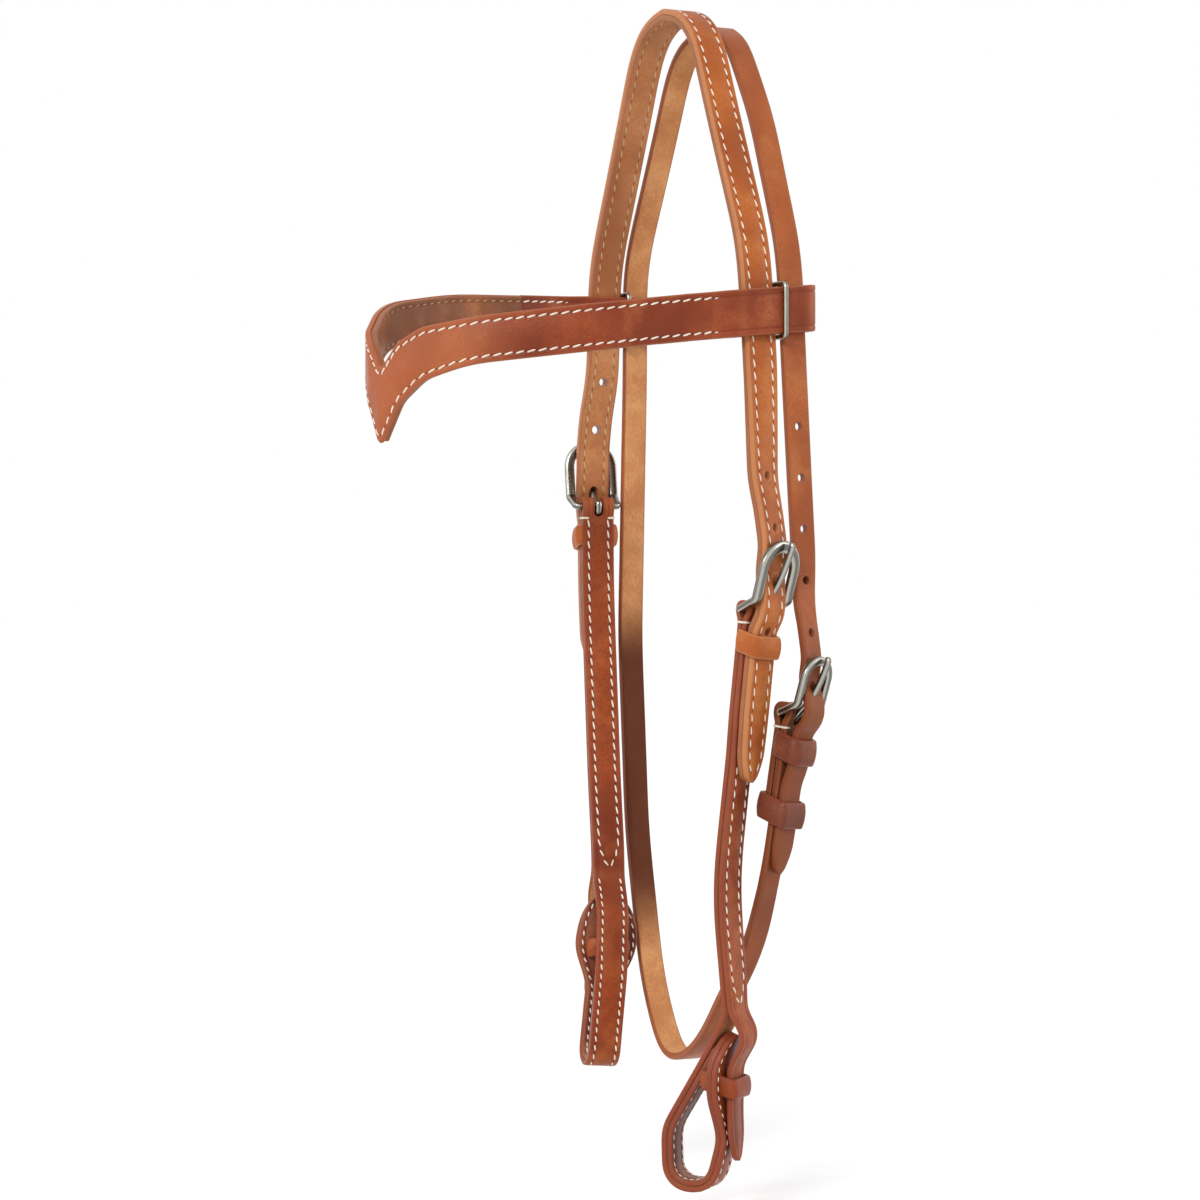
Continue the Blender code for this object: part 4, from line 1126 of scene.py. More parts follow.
# %% one buckle
SLOT_DOWN = 5.0 * MM
TIP_OVER = 0.4 * MM
TONGUE_PLAY = 0.7 * MM
TONGUE_ARCH = 2.2 * MM
TIP_HOOK = 1.5 * MM
TIP_LEAST = 0.08
HOOK_STEPS = (1, 0.95, 0.8, 0.5, 0.25)
ARCH_STEPS = (0, 0.05, 0.12, 0.2, 0.3, 0.4, 0.5, 0.6, 0.7, 0.8, 0.9)
CURL_END = 5.2
CURL_STEPS = 22
HOLE_FROM_SHARE = 0.12
HOLE_PAST = 4.0 * MM
SWELL_FROM_SHARE = 0.25
SWELL_TO_SHARE = 0.75
BAR_CORNER = 2.0 * MM
RAIL_CROWNED = 0.35 * MM
KNEE_CORNER = 3.0 * MM
THROUGH = 4
SQUARED = 0.72


def buckle(name, line, bar, strap_width, rise, lean, rail):
    """Frame and tongue of one buckle, hung on the strap's fold; returns the tongue hole's ends."""
    p, heading, across, off = line.frame(bar)
    up = -heading
    e = strap_width / 2 + 1.5 * GAP + rail / 2
    crown = e * ROUND_SHARE
    knee, out = KNEE_UP, KNEE_OUT

    def to_world(v):
        """A direction of the buckle's own, in the world."""
        return across * v.x + up * v.y + off * v.z

    def lift(v):
        """How far the frame stands off the bar at a height v up it."""
        if v < knee:
            return out * v / knee
        return out + (lean - out) * (v - knee) / (rise - knee)

    path = ring_path([((-e, 0, 0), BAR_CORNER), ((-e, knee, out), KNEE_CORNER),
                      ((-e, rise, lean), crown), ((e, rise, lean), crown),
                      ((e, knee, out), KNEE_CORNER), ((e, 0, 0), BAR_CORNER)])
    rows = []
    for i, q in enumerate(path):
        run = run_at(path, i)
        slope = (lift(q.y + knee / 2) - lift(q.y - knee / 2)) / knee
        face = Vector((0, -slope, 1)).normalized()
        side = run.cross(face).normalized()
        face = side.cross(run)
        share = (q.z / out - SWELL_FROM_SHARE) / (SWELL_TO_SHARE - SWELL_FROM_SHARE)
        share = min(max(share, 0), 1)
        half_in = BAR_RADIUS + (rail / 2 - BAR_RADIUS) * share
        half_off = BAR_RADIUS + (RAIL_THICK / 2 + RAIL_CROWNED - BAR_RADIUS) * share
        rows.append((p + to_world(q), to_world(side) * half_in, to_world(face) * half_off))
    dress(rod(name + "_horseshoe", rows, True, satin_steel, SQUARED),
          name.replace("buckle", "frame"), name + "_frame")
    return tongue(name, p, to_world, rise, lean, rail)


def tongue(name, p, to_world, rise, lean, rail):
    """The tongue: curled round the bar, its tip resting on the frame's top."""
    curl = BAR_RADIUS + GAP + TONGUE_RADIUS
    rest = lean + RAIL_THICK / 2 + GAP + TONGUE_TIP_RADIUS
    tip = Vector((0, rise + TIP_OVER, rest + (TIP_OVER + rail / 2) * rest / rise))
    away = math.atan2(tip.z, tip.y)
    leave = away + math.acos(curl / math.hypot(tip.y, tip.z))
    turns = [leave + i * (CURL_END - leave) / CURL_STEPS for i in range(CURL_STEPS + 1)]
    line_of = [Vector((0, curl * math.cos(t), curl * math.sin(t))) for t in turns]
    arch = Vector((0, -tip.z, tip.y)).normalized() * TONGUE_ARCH
    run_up = [tip + Vector((0, TIP_HOOK * t, -TIP_HOOK * t * t)) for t in HOOK_STEPS]
    run_up += [tip.lerp(line_of[0], t) + arch * math.sin(math.pi * t) for t in ARCH_STEPS]
    rows = []
    full = run_up + line_of
    for i, q in enumerate(full):
        run = (full[min(i + 1, len(full) - 1)] - full[max(i - 1, 0)]).normalized()
        gone = (q - full[0]).length
        near_tip = min(gone / TONGUE_RADIUS, 1)
        size = TONGUE_TIP_RADIUS * math.sqrt(max(1 - (1 - near_tip) ** 2, TIP_LEAST))
        size += (TONGUE_RADIUS - TONGUE_TIP_RADIUS) * min(gone / (rise / 2), 1)
        face = Vector((1, 0, 0))
        side = run.cross(face).normalized()
        rows.append((p + to_world(q), to_world(face) * size, to_world(side) * size))
    dress(rod(name + "_prong", rows, False, satin_steel),
          name.replace("buckle", "tongue"), name + "_tongue")
    start = p + to_world(line_of[0].lerp(tip, HOLE_FROM_SHARE))
    return start, p + to_world(tip + (tip - line_of[0]).normalized() * HOLE_PAST)


# %% slot in a fold for the tongue
def fold_slot(line, bar, half_thick):
    """The long slot in a fold, round at its foot, for the tongue."""
    p, heading, across, off = line.frame(bar)
    reach = BAR_RADIUS + half_thick * THROUGH
    half = TONGUE_RADIUS + TONGUE_PLAY
    turns = [math.pi * j / HOLE_SIDES for j in range(HOLE_SIDES + 1)]
    ring = [(-half, -reach), (half, -reach)]
    ring += [(half * math.cos(a), SLOT_DOWN - half + half * math.sin(a)) for a in turns]
    return prism([p + across * x + heading * y - off * reach for x, y in ring], off * 2 * reach)


# %% [markdown]
# A keeper is a short band of the same leather that holds a billet down. A fixed one has its ends
# tucked between the two layers of its strap, and a loose one is closed. Its face is cambered, and
# it is swept round the strap, tilted a little as a used one is.

# %% keepers
KEEPER_CORNER = 1.6 * MM
KEEPER_ROUND = 3.2 * MM
BIT_KEEPER_CORNER = 3.0 * MM
KEEPER_EDGE = 0.55 * MM
KEEPER_CAMBER = 0.9 * MM
KEEPER_TILT = 0.25
CAMBER_ROWS = (-0.8, -0.6, -0.4, -0.2)


def keeper_section(half, grain):
    """A strip with round edges, cambered so that its middle stands out."""
    t = KEEPER_THICK / 2
    edge = KEEPER_EDGE
    middle = edge * ARC_MIDDLE
    front = [(half - edge, t, edge, 1), (half - middle, t - middle, edge * 0.3, 0.6),
             (half, t - edge, 0, 0), (half, edge - t, 0, 0),
             (half - middle, middle - t, 0, -0.4), (half - edge, -t, edge, -1)]
    inner = [(-share * half, -t, (1 + share) * half, -1) for share in CAMBER_ROWS]
    right = [(a, -b, rim, 1) for a, b, rim, side in reversed(inner)] + front + inner
    left = [(-a, b, rim, side) for a, b, rim, side in reversed(right)]
    ring = [(0, t, half, 1)] + right + [(0, -t, half, -1)] + left
    return [(a, (b + KEEPER_CAMBER * (1 - (a / half) ** 2)) * grain, rim, side, 0)
            for a, b, rim, side in ring]


def band(name, line, top, tall, path, closed, look, body, node_name):
    """A keeper: a band of leather round a strap; path gives its places across and off the face."""
    p, heading, across, off = line.frame(top + tall / 2)
    spots = fine(path, STEP / 2)
    count = len(spots)
    steps = unit(np.array([(spots[(i + 1) % count] - spots[i - 1])[:2] for i in range(count)]))
    if not closed:
        steps[0], steps[-1] = steps[1], steps[-2]
    middle = (max(q.y for q in spots) + min(q.y for q in spots)) / 2
    places = [np.array([tuple(p + across * q.x + off * q.y
                              + heading * KEEPER_TILT * (q.y - middle)) for q in spots]),
              np.array([tuple(heading)] * count),
              np.array([tuple(off * tu - across * tn) for tu, tn in steps])]
    outward = np.array([q.x * -tn + q.y * tu for q, (tu, tn) in zip(spots, steps)]).sum() > 0
    section = keeper_section(tall / 2, 1 if outward else -1)
    return dress(skin(name, places, [section] * count, closed, look), body, node_name)


def tucked_keeper(name, line, top, tall, half_across, over, look, node_name):
    """A keeper whose two ends are sewn between the two layers of the strap it sits on."""
    side = half_across + GAP + KEEPER_THICK / 2
    path = rounded([((-GAP, 0, 0), 0), ((-side, 0, 0), KEEPER_CORNER),
                    ((-side, over, 0), KEEPER_ROUND), ((side, over, 0), KEEPER_ROUND),
                    ((side, 0, 0), KEEPER_CORNER), ((GAP, 0, 0), 0)])
    return band(name, line, top, tall, path, False, look, "straps", node_name)


# %% [markdown]
# Under each bar the layers are held by two short loops of the same thread, one at each edge: each
# comes out of a stitch hole and goes round the edge. The browband's steel rings are made the same
# way, as a rod closed about the strap.

# %% lashings and rings
LASHING_RADIUS = 0.55 * MM
LASHING_SUNK = 0.5 * MM
LASHING_CORNER = 1.2 * MM


def wound_ring(name, line, at, inner, outer, half_off, radius, corner, look):
    """Round rod or thread closed about a part of a strap, from inner to outer across it."""
    b = half_off + GAP + radius
    path = box_ring(inner, outer, -b, b, corner, corner)
    p, heading, across, off = line.frame(at)
    rows = []
    for i, q in enumerate(path):
        run = run_at(path, i)
        out = across * -run.y + off * run.x
        rows.append((p + across * q.x + off * q.y, out * radius, heading * radius))
    return rod(name, rows, True, look)


def edge_wraps(name, line, at, half_across, half_off):
    """Two short loops of thread, each from a stitch hole round its edge of the strap."""
    outer = half_across + LASHING_RADIUS / 2
    wraps = [wound_ring(name, line, at, hand * (half_across - STITCH_INSET), hand * outer,
                        half_off - LASHING_SUNK, LASHING_RADIUS, LASHING_CORNER, thread)
             for hand in (-1, 1)]
    bm = bmesh.new()
    for wrap in wraps:
        bm.from_mesh(wrap.data)
    bm.to_mesh(wraps[0].data)
    bm.free()
    bpy.data.objects.remove(wraps[1])
    return wraps[0]


# %% [markdown]
# A cheek strap starts at a tab behind its bit loop, runs up the outside, folds round the buckle
# bar and comes down again behind, so it is two layers sewn together. Below the seam the inner layer
# goes on as the bit loop: it swings out round the bit ring, comes back up inside and ends in an
# oval with two slits, through which a small keeper holds loop, lining and tab together.

# %% the cheek strap's sizes
LASHING_DROP = 5.8 * MM
CLOSE_BY = 5.0 * MM
TAIL_LENGTH = 70.0 * MM
TAB_BULGE = 8.0 * MM
TAB_DROP = 12.5 * MM
TAB_FOOT = 14.0 * MM
TAIL_MEETS = 14.0 * MM
LOOP_WIDTH = 34.0 * MM
LINER_START = 16.0 * MM
OVAL_HALF = 15.3 * MM
OVAL_TIP = 24.0 * MM
OVAL_END = 50.0 * MM
OVAL_LAST = 2.6 * MM
BIT_KEEPER_TALL = 9.3 * MM
BIT_KEEPER_SHARE = 0.405
BIT_KEEPER_PROUD = 2.5 * MM
NEAR_LOOP_SHARES = ((0.03, -0.05, 0.4), (0.23, -0.33, 0.6), (0.66, -0.96, 0.6),
                    (0.985, -0.93, 0.35), (0.985, -0.26, 0.35), (0.72, -0.085, 0.6),
                    (0.5, -0.14, 0.73), (0.3, -0.14, 0.6), (0.14, 0.01, 0))
OFF_LOOP_SHARES = ((0.03, -0.05, 0.4), (0.2, -0.39, 0.6), (0.5, -0.54, 0.9),
                   (0.985, -0.44, 0.24), (0.985, 0.06, 0.24), (0.66, -0.02, 0.9),
                   (0.48, -0.12, 0.73), (0.28, -0.12, 0.6), (0.12, 0.01, 0))
POLL_TO_NEAR_SEAM_END = 462.5 * MM
POLL_TO_OFF_SEAM_END = 407.8 * MM
NEAR_LOOP_DEEP = 84.8 * MM
OFF_LOOP_DEEP = 95.0 * MM
NEAR_TAIL_OUT = 1.0 * MM
OFF_TAIL_OUT = 4.0 * MM


# %% width of the cheek strap
def swell(share):
    """Smooth swelling: one at share nought, nought at share one."""
    return (1 + math.cos(share * math.pi)) / 2


def oval(s, total):
    """Half width of the cheek strap: even, then swelling to the oval at the inner leg's end."""
    left = total - s
    if s < POINT:
        return CROWN_WIDTH / 2 * tip_share(s / POINT)
    if left < OVAL_TIP:
        return max(OVAL_HALF * math.sqrt(max(1 - (1 - left / OVAL_TIP) ** 2, 0)), OVAL_LAST)
    if left < OVAL_END:
        share = (left - OVAL_TIP) / (OVAL_END - OVAL_TIP)
        return CROWN_WIDTH / 2 + (OVAL_HALF - CROWN_WIDTH / 2) * swell(share)
    return CROWN_WIDTH / 2


def lining_half(s, total):
    """Half width of the bit loop's lining, a little inside the strap's edges."""
    left = total - s
    if left > OVAL_END:
        return CROWN_WIDTH / 2 - LINER_INSET
    return max(oval(max(s, POINT), total) - LINER_INSET * min(left / OVAL_TIP, 1), OVAL_LAST)


# %% one cheek strap
CHEEK_PITCH, CHEEK_DASH = 5.3 * MM, 4.4 * MM
LOOP_PITCH, LOOP_DASH = 4.4 * MM, 3.3 * MM
OVAL_INSET = 2.6 * MM
FOLD_CLEAR = 7.0 * MM


def cheek_path(bar, loop, v, deep, tail_out):
    """The whole path of a cheek strap, from the tab's tip to the oval's."""
    fold = BAR_RADIUS + GAP + LAYER / 2
    keeper_at = v + BIT_KEEPER_SHARE * deep
    tail = [(v + TAIL_LENGTH, tail_out, 0), (keeper_at + TAIL_MEETS, 0, WIDE_BEND),
            (v + TAB_DROP + TAB_FOOT, 0, BEND), (v + TAB_DROP, TAB_BULGE, BEND),
            (v + JUST_PAST, HALF_PAIR, BEND), (bar + CLOSE_BY, HALF_PAIR, BEND),
            (bar + JUST_PAST, fold, FOLD_BEND), (bar - fold, fold, ROUND_SHARE * fold),
            (bar - fold, -fold, ROUND_SHARE * fold), (bar + JUST_PAST, -fold, FOLD_BEND),
            (bar + CLOSE_BY, -HALF_PAIR, BEND)]
    legs = [(v + share * deep, off * LOOP_WIDTH, r * LOOP_WIDTH) for share, off, r in loop]
    return eased(flat(tail + legs), PATH_EASE, STEP / 2, [(bar, FOLD_CLEAR, 2 * FOLD_CLEAR)])


def bit_keeper(side, line, loop, v, deep):
    """The small keeper threaded through the oval's two slits."""
    leg_off = loop[-2][1] * LOOP_WIDTH
    low = leg_off - LAYER / 2 - GAP - LAYER - 2.5 * GAP - KEEPER_THICK / 2 - BIT_KEEPER_PROUD
    high = LAYER / 2 + 2 * GAP + KEEPER_THICK / 2
    beside = CROWN_WIDTH / 2 + GAP + KEEPER_THICK / 2
    ring = box_ring(-beside, beside, low, high, BIT_KEEPER_CORNER, KEEPER_CORNER)
    band(side + "_loop_band", line, v + BIT_KEEPER_SHARE * deep - BIT_KEEPER_TALL / 2,
         BIT_KEEPER_TALL, ring, True, red_brown, "straps", side + "_bit_keeper")


def cheek(side, line, bar, loop, seam_end, loop_deep, tail_out, rail):
    """One cheek strap with its lining, keepers, lashing and buckle."""
    v = line.where(-seam_end)
    deep = line.where(-seam_end - loop_deep) - v
    path = cheek_path(bar, loop, v, deep, tail_out)
    body = ribbon(side + "_cheek_leather", line, path, oval, LAYER, red_brown, grain=-1)
    cut_out(body, [fold_slot(line, bar, LAYER / 2)])
    dress(body, "straps", side + "_cheek_strap")
    inside = shifted(path, LAYER + GAP)
    fold_at = next(i for i, q in enumerate(path) if q.y < -LAYER and q.x > bar)
    first = next(i for i in range(fold_at, len(inside)) if inside[i].x > v + LINER_START)
    lining = ribbon(side + "_loop_lining", line, inside[first:], lining_half, SEAM_FILL,
                    loop_lining)
    dress(lining, "straps", side + "_bit_liner")
    bit_keeper(side, line, loop, v, deep)
    over = GAP + LAYER + GAP + CROWN_THICK + 2 * KEEPER_SLACK + GAP + KEEPER_THICK / 2
    tucked_keeper(side + "_keeper_band", line, bar + KEEPER_DROP, SNUG_KEEPER_TALL,
                  CROWN_WIDTH / 2, over, orange_tan, side + "_cheek_keeper")
    dress(edge_wraps(side + "_lashing_thread", line, bar + LASHING_DROP, CROWN_WIDTH / 2,
                     HALF_PAIR + LAYER / 2 - GAP), "straps", side + "_bar_lashing")
    sew_cheek(side, line, bar, v, path)
    return buckle(side + "_buckle", line, bar, CROWN_WIDTH, FRAME_RISE, FRAME_LEAN, rail)


# %% stitching on a cheek strap
VEE_END = 2.0 * MM
VEE_LONG = 16.0 * MM
VEE_POWER = 0.8


def vee(end, hand):
    """Place across the strap: full width, then curving in to the tip of the vee at end."""
    def across(s):
        """How far across the row lies at s."""
        left = 1 - min(max(end - s, 0) / VEE_LONG, 1)
        return hand * (CROWN_WIDTH / 2 - STITCH_INSET) * (1 - left * left) ** VEE_POWER
    return across


def sew_cheek(side, line, bar, v, path):
    """Two rows down the doubled part that meet in a vee, and two all round the bit loop."""
    places, _ = strap_places(line, flat([(bar + CLOSE_BY, 0, 0), (v - VEE_END, 0, 0)]))
    end = gone_along(places[0])[-1]
    sew(side + "_cheek_stitching", places,
        [(LASHING_DROP - CLOSE_BY, end, vee(end, hand), HALF_PAIR + LAYER / 2) for hand in (-1, 1)],
        CHEEK_PITCH, CHEEK_DASH)
    places, _ = strap_places(line, path)
    gone, spots = gone_along(places[0]), fine(path, STEP)
    top = min(range(len(spots)), key=lambda i: spots[i].x)

    def gone_at(place):
        """How far along the strap is where it first comes down past a place on its line."""
        return gone[next(i for i in range(top, len(spots)) if spots[i].x > place)]

    start, end = gone_at(bar + LASHING_DROP), gone_at(v - VEE_END)
    sew(side + "_cheek_inner_stitching", places,
        [(start, end, vee(end, hand), -LAYER / 2) for hand in (-1, 1)], CHEEK_PITCH, CHEEK_DASH,
        stained=False)
    starts = {-LAYER / 2: gone_at(v), LAYER + GAP + SEAM_FILL / 2: gone_at(v + LINER_START)}
    runs = [(start + STITCH_INSET, gone[-1] - OVAL_INSET,
             inside_edge(oval, gone[-1], hand, OVAL_INSET), high)
            for high, start in starts.items() for hand in (-1, 1)]
    sew(side + "_loop_stitching", places, runs, LOOP_PITCH, LOOP_DASH, stained=False)


holes = {}
for side, line, bar, loop, seam_end, loop_deep, tail_out, rail in (
        ("near", near_line, NEAR_BAR, NEAR_LOOP_SHARES, POLL_TO_NEAR_SEAM_END, NEAR_LOOP_DEEP,
         NEAR_TAIL_OUT, WIDE_RAIL),
        ("off", off_line, OFF_BAR, OFF_LOOP_SHARES, POLL_TO_OFF_SEAM_END, OFF_LOOP_DEEP,
         OFF_TAIL_OUT, RAIL_WIDTH)):
    start, end = cheek(side, line, bar, loop, seam_end, loop_deep, tail_out, rail)
    holes[side] = rod_between(start, end, TONGUE_RADIUS + TONGUE_PLAY)

# %% [markdown]
# Only now are both tongues' places known, so the crown's two layers are punched together: a row of
# holes in each billet, and one hole on the skew where each tongue goes through.

# %% punch the crown
CROWN_HOLES = (-1, 1, 2)
rods = list(holes.values())
for line, bar in ((near_line, NEAR_BAR), (off_line, OFF_BAR)):
    rods += hole_rods(line, [bar - HOLE_ABOVE_BAR - back * HOLE_PITCH for back in CROWN_HOLES])
for layer, node_name in ((crown_top, "crown_outer"), (crown_lining, "crown_liner")):
    dress(cut_out(layer, rods), "straps", node_name)

# %% [markdown]
# The throatlatch is a single thickness, narrower and lighter in colour. One end folds round its own
# buckle bar and is sewn to itself with two keepers; the other goes under the jaw, over the poll and
# comes back to the buckle as a billet.

# %% the throatlatch
RING_ROOM = 4.7 * MM
BEHIND = CROWN_WIDTH / 2 + RING_ROOM + THROAT_WIDTH / 2
THROAT_SHARES = ((0, 1.316, 0.0087), (0.11, 1.316, 0.0087), (0.53, 1.18, 0.17),
                 (0.935, 1, 0.4131), (1.0, 1, 0.6153), (1.03, 1.237, 0.9852),
                 (0.89, 0.58, 1.4143), (0.66, 0.579, 1.5623), (0.13, 0.526, 1.7447),
                 (-0.26, 0.553, 1.7773), (-0.74, 0.974, 1.656), (-0.97, 1.026, 1.3946),
                 (-1.0, 0.884, 1.0493), (-0.99, 1, 0.5956), (-0.945, 0.921, 0.3934),
                 (-0.35, 1.13, 0.0087), (0, 1.316, 0.0087))
THROAT_CORNER_SHARES = (0, 0.364, 1.3, 0.78, 1.3, 2.6, 0.65, 0.78, 0.78, 0.286, 0.78, 1.3, 2.6,
                        1.3, 0.78, 0.364, 0)
THROAT_TURN_SHARES = ((0.4082, 0), (0.9014, 6), (1.0197, 22), (1.4537, 22), (1.5918, 8),
                      (1.7398, 0))
THROAT_BAR_DROP = 326.8 * MM
THROAT_FOLD = BAR_RADIUS + GAP + THROAT_THICK / 2
THROAT_RISE = 26.0 * MM
THROAT_LEAN = 13.0 * MM
THROAT_RAIL = 4.2 * MM
THROAT_TIP = 73.0 * MM
THROAT_PAIR = (THROAT_THICK + GAP) / 2
THROAT_LASHING = 6.5 * MM
CHAPE = 46.0 * MM
FIXED_AT = 9.5 * MM
SLIDING_AT = 38.5 * MM
PAIR_END_SHARE = 1.4
MIDDLE_SHARE = 2

corners = [((out * HEAD_HALF, back * BEHIND, -drop * POLL_TO_NEAR_BAR), corner * HEAD_HALF)
           for (out, back, drop), corner in zip(THROAT_SHARES, THROAT_CORNER_SHARES)]
plain = Line(corners, ((0, 0),), 1)
turns = [(plain.where(-drop * POLL_TO_NEAR_BAR), turn * DEG) for drop, turn in THROAT_TURN_SHARES]
throat_line = Line(corners, turns, 1, loop=True)
THROAT_BAR = throat_line.where(-THROAT_BAR_DROP)
around = throat_line.length
throat_path = eased(flat([
    (THROAT_BAR + CHAPE, -THROAT_PAIR, 0), (THROAT_BAR + CLOSE_BY, -THROAT_PAIR, CLOSE_BEND),
    (THROAT_BAR + JUST_PAST, -THROAT_FOLD, FOLD_BEND),
    (THROAT_BAR - THROAT_FOLD, -THROAT_FOLD, ROUND_SHARE * THROAT_FOLD),
    (THROAT_BAR - THROAT_FOLD, THROAT_FOLD, ROUND_SHARE * THROAT_FOLD),
    (THROAT_BAR + JUST_PAST, THROAT_FOLD, FOLD_BEND),
    (THROAT_BAR + CLOSE_BY, THROAT_PAIR, CLOSE_BEND),
    (THROAT_BAR + PAIR_END_SHARE * THROAT_TIP, THROAT_PAIR, WIDE_BEND),
    (THROAT_BAR + MIDDLE_SHARE * THROAT_TIP, 0, WIDE_BEND)]
    + billet_path(around + THROAT_BAR, THROAT_TIP, THROAT_THICK, THROAT_THICK, THROAT_RISE,
                  THROAT_LEAN, FIXED_AT, SLIDING_AT + KEEPER_TALL, THROAT_LOOSE)),
    PATH_EASE, STEP / 2, [(THROAT_BAR, FOLD_CLEAR, 2 * FOLD_CLEAR)])
throat_leather = ribbon("throat_leather", throat_line, throat_path, tapered(THROAT_WIDTH, 0, POINT),
                        THROAT_THICK, throat_tan, channel=0, seam=EDGE)
throat_long = sum((b - a).length for a, b in zip(throat_path, throat_path[1:]))
print("throatlatch strap is", round(throat_long, 3), "m long")

# %% the throatlatch's buckle and keepers
THROAT_HOLES = (1, 2, 3, 4, 5)
THROAT_HOLE_RADIUS = 2.0 * MM
start, end = buckle("throat_buckle", throat_line, THROAT_BAR, THROAT_WIDTH, THROAT_RISE,
                    THROAT_LEAN, THROAT_RAIL)
rods = [rod_between(start, end, TONGUE_RADIUS + TONGUE_PLAY),
        fold_slot(throat_line, THROAT_BAR, THROAT_THICK / 2)]
rods += hole_rods(throat_line, [THROAT_BAR - HOLE_ABOVE_BAR - back * HOLE_PITCH
                                for back in THROAT_HOLES], THROAT_HOLE_RADIUS)
dress(cut_out(throat_leather, rods), "straps", "throatlatch")
over = GAP + THROAT_THICK + GAP + THROAT_THICK + 2 * KEEPER_SLACK + GAP + KEEPER_THICK / 2
tucked_keeper("throat_keeper_band", throat_line, THROAT_BAR + FIXED_AT, KEEPER_TALL,
              THROAT_WIDTH / 2, over + THROAT_LOOSE, keeper_brown, "throat_fixed_keeper")
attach(edge_wraps("throat_lashing_thread", throat_line, THROAT_BAR + THROAT_LASHING,
                   THROAT_WIDTH / 2, THROAT_THICK - GAP / 2), "straps")
slide_side = THROAT_WIDTH / 2 + 1.5 * GAP + KEEPER_THICK / 2
under = -THROAT_THICK - 1.5 * GAP - KEEPER_THICK / 2
slide_ring = box_ring(-slide_side, slide_side, under, over, KEEPER_CORNER, KEEPER_CORNER)
band("throat_slide_band", throat_line, THROAT_BAR + SLIDING_AT, KEEPER_TALL, slide_ring, True,
     keeper_brown, "sliding_keeper", "throat_sliding_keeper")

# %% [markdown]
# The browband is two layers, wider than the rest, that dips to a point in the middle of the
# forehead. Each end is turned back into a loop round the crown and throatlatch, and a steel ring
# closes it. It stands upright all the way round, so its line needs no turning.

# %% the browband's line
BROW_SHARES = ((0.987, -0.25, 0.5216, 2.6), (0.82, -0.80, 0.5453, 1.56), (0.52, -1.26, 0.566, 0.58),
               (0.28, -1.42, 0.5857, 0.31), (0.13, -1.485, 0.6153, 0.2), (0, -1.525, 0.6705, 0.02),
               (-0.13, -1.53, 0.6153, 0.2), (-0.26, -1.5, 0.5847, 0.26),
               (-0.545, -1.34, 0.5246, 0.58), (-0.80, -0.88, 0.4969, 1.56),
               (-0.98, -0.25, 0.4881, 2.6))
NEAR_END_SHARES = (0.967, 0.5048)
OFF_END_SHARES = (-0.96, 0.4871)
END_TUCK = 1.85 * MM
END_BACK = BEHIND + THROAT_WIDTH / 2 - END_TUCK
LOOP_PLAY = 2.0 * MM
LOOP_HALF = CROWN_THICK / 2 + LOOP_PLAY + LAYER / 2
LOOP_RUN = 34.0 * MM
JOIN_RUN = 46.0 * MM
TURNED_BACK = 72.0 * MM
POINT_RUN = 60.0 * MM
POINT_POWER = 1.7
BROW_EASE = 0.8 * MM
brow_corners = [((out * HEAD_HALF, back * REACH, -drop * POLL_TO_NEAR_BAR), corner * HEAD_HALF)
                for out, back, drop, corner in BROW_SHARES]
first, last = [((out * HEAD_HALF, END_BACK, -drop * POLL_TO_NEAR_BAR), 0)
               for out, drop in (NEAR_END_SHARES, OFF_END_SHARES)]
brow_line = Line([first] + brow_corners + [last], ((0, 0),), -1, upright=True, ease=BROW_EASE)
brow_end = brow_line.length
BROW_MIDDLE = brow_line.at[min(range(len(brow_line.points)),
                               key=lambda i: brow_line.points[i].z)]
print("browband is", round(brow_end, 3), "m round the forehead")


# %% the browband's layers
def brow_half(u, inset):
    """Half width of the browband along its line, swelling towards the point in the middle."""
    share = min(abs(u - BROW_MIDDLE) / POINT_RUN, 1)
    more = (BROW_POINT_WIDTH - BROW_WIDTH) / 2
    return BROW_WIDTH / 2 + more * (1 - share) ** POINT_POWER - inset


def brow_layer(name, path, inset, look, node_name, thick=LAYER, grain=1, seam=SEAM):
    """A layer of the browband along a path of its line."""
    places, bend = strap_places(brow_line, path)
    spots = fine(path, STEP)
    sections = [strap_section(brow_half(q.x, inset), thick, EDGE, seam, grain) for q in spots]
    return dress(skin(name, places, sections, False, look, bend), "browband", node_name)


near_end = [(TURNED_BACK, -HALF_PAIR, 0), (JOIN_RUN, -HALF_PAIR, BEND),
            (LOOP_RUN, -LOOP_HALF, BEND), (-LOOP_HALF, -LOOP_HALF, ROUND_SHARE * LOOP_HALF),
            (-LOOP_HALF, LOOP_HALF, ROUND_SHARE * LOOP_HALF), (LOOP_RUN, LOOP_HALF, BEND),
            (JOIN_RUN, HALF_PAIR, BEND)]
off_end = [(brow_end - u, n, r) for u, n, r in reversed(near_end)]
brow_path = flat(near_end + off_end)
brow_layer("browband_leather", brow_path, 0, brow_brown, "browband_outer")
lining_ends = [(TURNED_BACK + GAP, -HALF_PAIR, 0), (brow_end - TURNED_BACK - GAP, -HALF_PAIR, 0)]
brow_layer("browband_lining", flat(lining_ends), LINER_INSET, brow_lining, "browband_liner",
           SEAM_FILL, -1)

# %% stitching on the browband
BROW_PITCH, BROW_DASH = 5.1 * MM, 4.5 * MM
brow_places, _ = strap_places(brow_line, flat([(0, 0, 0), (brow_end, 0, 0)]))
BROW_SEWN_FROM = 37.0 * MM


def brow_row(hand):
    """A stitch row along the browband's edge."""
    return lambda s: hand * (brow_half(s, 0) - STITCH_INSET)


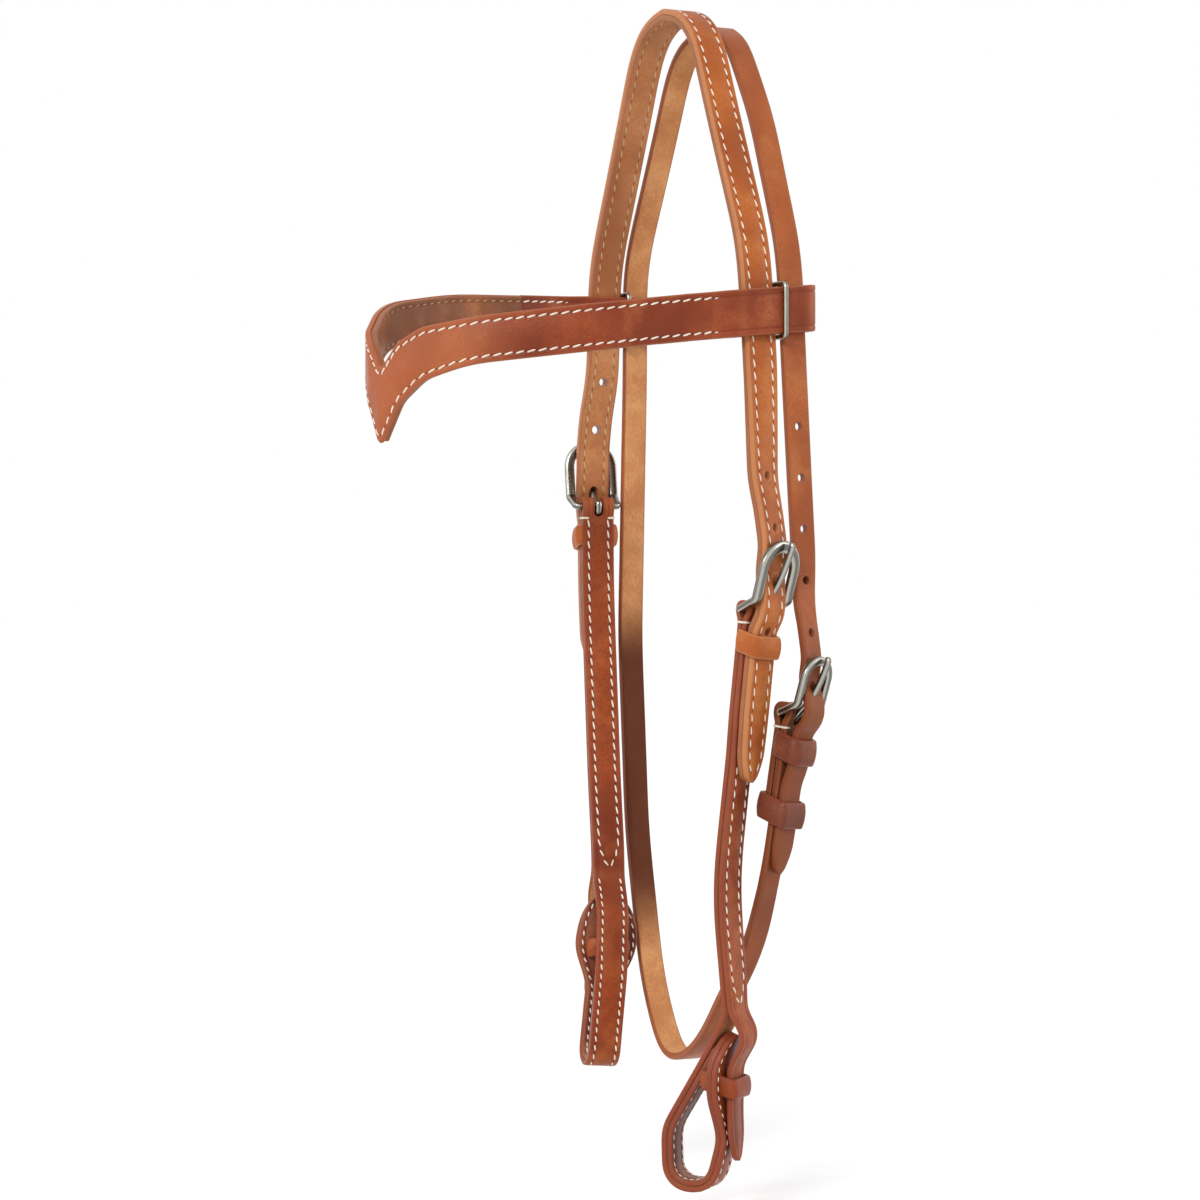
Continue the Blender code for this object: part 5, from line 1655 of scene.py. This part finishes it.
high = HALF_PAIR + LAYER / 2
runs = [(BROW_SEWN_FROM, brow_end - BROW_SEWN_FROM, brow_row(hand), high) for hand in (-1, 1)]
runs += [(start, end, brow_row(hand), -high) for hand in (-1, 1) for start, end in
         ((BROW_SEWN_FROM, TURNED_BACK), (brow_end - TURNED_BACK, brow_end - BROW_SEWN_FROM))]
sew("browband_stitching", brow_places, runs, BROW_PITCH, BROW_DASH, "browband", stained=False)
runs = [(TURNED_BACK, brow_end - TURNED_BACK, brow_row(hand), -high) for hand in (-1, 1)]
sew("browband_lining_stitching", brow_places, runs, BROW_PITCH, BROW_DASH, "browband")

# %% the browband's rings
RING_RADIUS = 1.2 * MM
RING_CORNER = 2.2 * MM
RING_AT = END_BACK - CROWN_WIDTH / 2 - RING_ROOM / 2
for side, at in (("near", RING_AT), ("off", brow_end - RING_AT)):
    reach = BROW_WIDTH / 2 + GAP + RING_RADIUS
    dress(wound_ring(side + "_brow_ring_rod", brow_line, at, -reach, reach, LOOP_HALF + LAYER / 2,
                     RING_RADIUS, RING_CORNER, satin_steel), "browband", side + "_browband_ring")

# %% [markdown]
# A pale floor and a white room stand for the photographer's sweep. The floor glows a little to the
# camera and to polished metal, so it reads as white without more light on the leather, and it still
# takes the bridle's soft shadow.

# %% floor and room
FLOOR_DROP = 14.0 * MM
FLOOR_HALF = 40.0
FLOOR_GLOW = 0.3
FLOOR_CLOUDS = (3.0, 2.0)
FLOOR_DARK = (0.87, 0.87, 0.87, 1)
FLOOR_PALE = (0.88, 0.88, 0.88, 1)
ROOM_LIGHT = 0.6


def seen_directly(tree):
    """One for rays from the camera, from gloss and through glass."""
    path = node(tree, "ShaderNodeLightPath")
    rays = sums(tree, "MAXIMUM", path.outputs["Is Camera Ray"], path.outputs["Is Glossy Ray"])
    return sums(tree, "MAXIMUM", rays, path.outputs["Is Transmission Ray"])


def floor_material():
    """A matt pale floor that glows a little to the camera."""
    made, tree, shader, where = new_material("pale floor")
    tone = noise(tree, where, *FLOOR_CLOUDS)
    feed(tree, blend(tree, tone, FLOOR_DARK, FLOOR_PALE), shader.inputs["Base Color"])
    shader.inputs["Roughness"].default_value = 1.0
    shader.inputs["Specular IOR Level"].default_value = 0.0
    shader.inputs["Emission Color"].default_value = (1, 1, 1, 1)
    feed(tree, times(tree, seen_directly(tree), FLOOR_GLOW), shader.inputs["Emission Strength"])
    return made


ground = [(x * FLOOR_HALF, y * FLOOR_HALF, 0) for x, y in ((-1, -1), (1, -1), (1, 1), (-1, 1))]
floor = mesh_piece("floor", ground, [(0, 1, 2, 3)], [floor_material()])
floor.location.z = cad_low[2] - FLOOR_DROP
floor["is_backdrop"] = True

world = bpy.data.worlds.new("white room")
world.use_nodes = True
bpy.context.scene.world = world
tree = world.node_tree
back = tree.nodes["Background"]
back.inputs["Color"].default_value = (1, 1, 1, 1)
feed(tree, plus(tree, ROOM_LIGHT, times(tree, seen_directly(tree), 1 - ROOM_LIGHT)),
     back.inputs["Strength"])
print("floor lies", round(FLOOR_DROP, 3), "m under the lowest strap")

# %% [markdown]
# The photograph's shadows are faint and wide, so the light is a bright room with three soft lamps:
# the key from above the camera's left shoulder, a weaker one from its right and one from in front
# of the forehead. A far lamp with a wide angle gives that without anything that could be seen.


# %% lamps
def sun(name, toward, spread_angle, strength):
    """A soft far lamp that shines along a direction."""
    data = bpy.data.lights.new(name, "SUN")
    data.angle, data.energy = spread_angle, strength
    made = bpy.data.objects.new(name, data)
    made.rotation_euler = Vector(toward).to_track_quat("-Z", "Y").to_euler()
    bpy.context.scene.collection.objects.link(made)


sun("key", (-0.9, 1.0, -0.75), 16 * DEG, 1.3)
sun("side", (-0.5, -1.0, -0.3), 30 * DEG, 0.5)
sun("front", (0.15, 1.0, -0.35), 36 * DEG, 0.4)

# %% [markdown]
# The colours are shown plainly, as a catalogue picture has them. Last, the box of the imported model
# and the box of the dressed one are set side by side.

# %% finish
bpy.context.scene.view_settings.view_transform = "Standard"
low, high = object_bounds()
sizes = {"cad": [list(cad_low), list(cad_high)], "visual": [list(low), list(high)]}
{k: [[float(x) for x in row] for row in v] for k, v in sizes.items()}
print("visual box", [round(float(b - a), 4) for a, b in zip(low, high)])
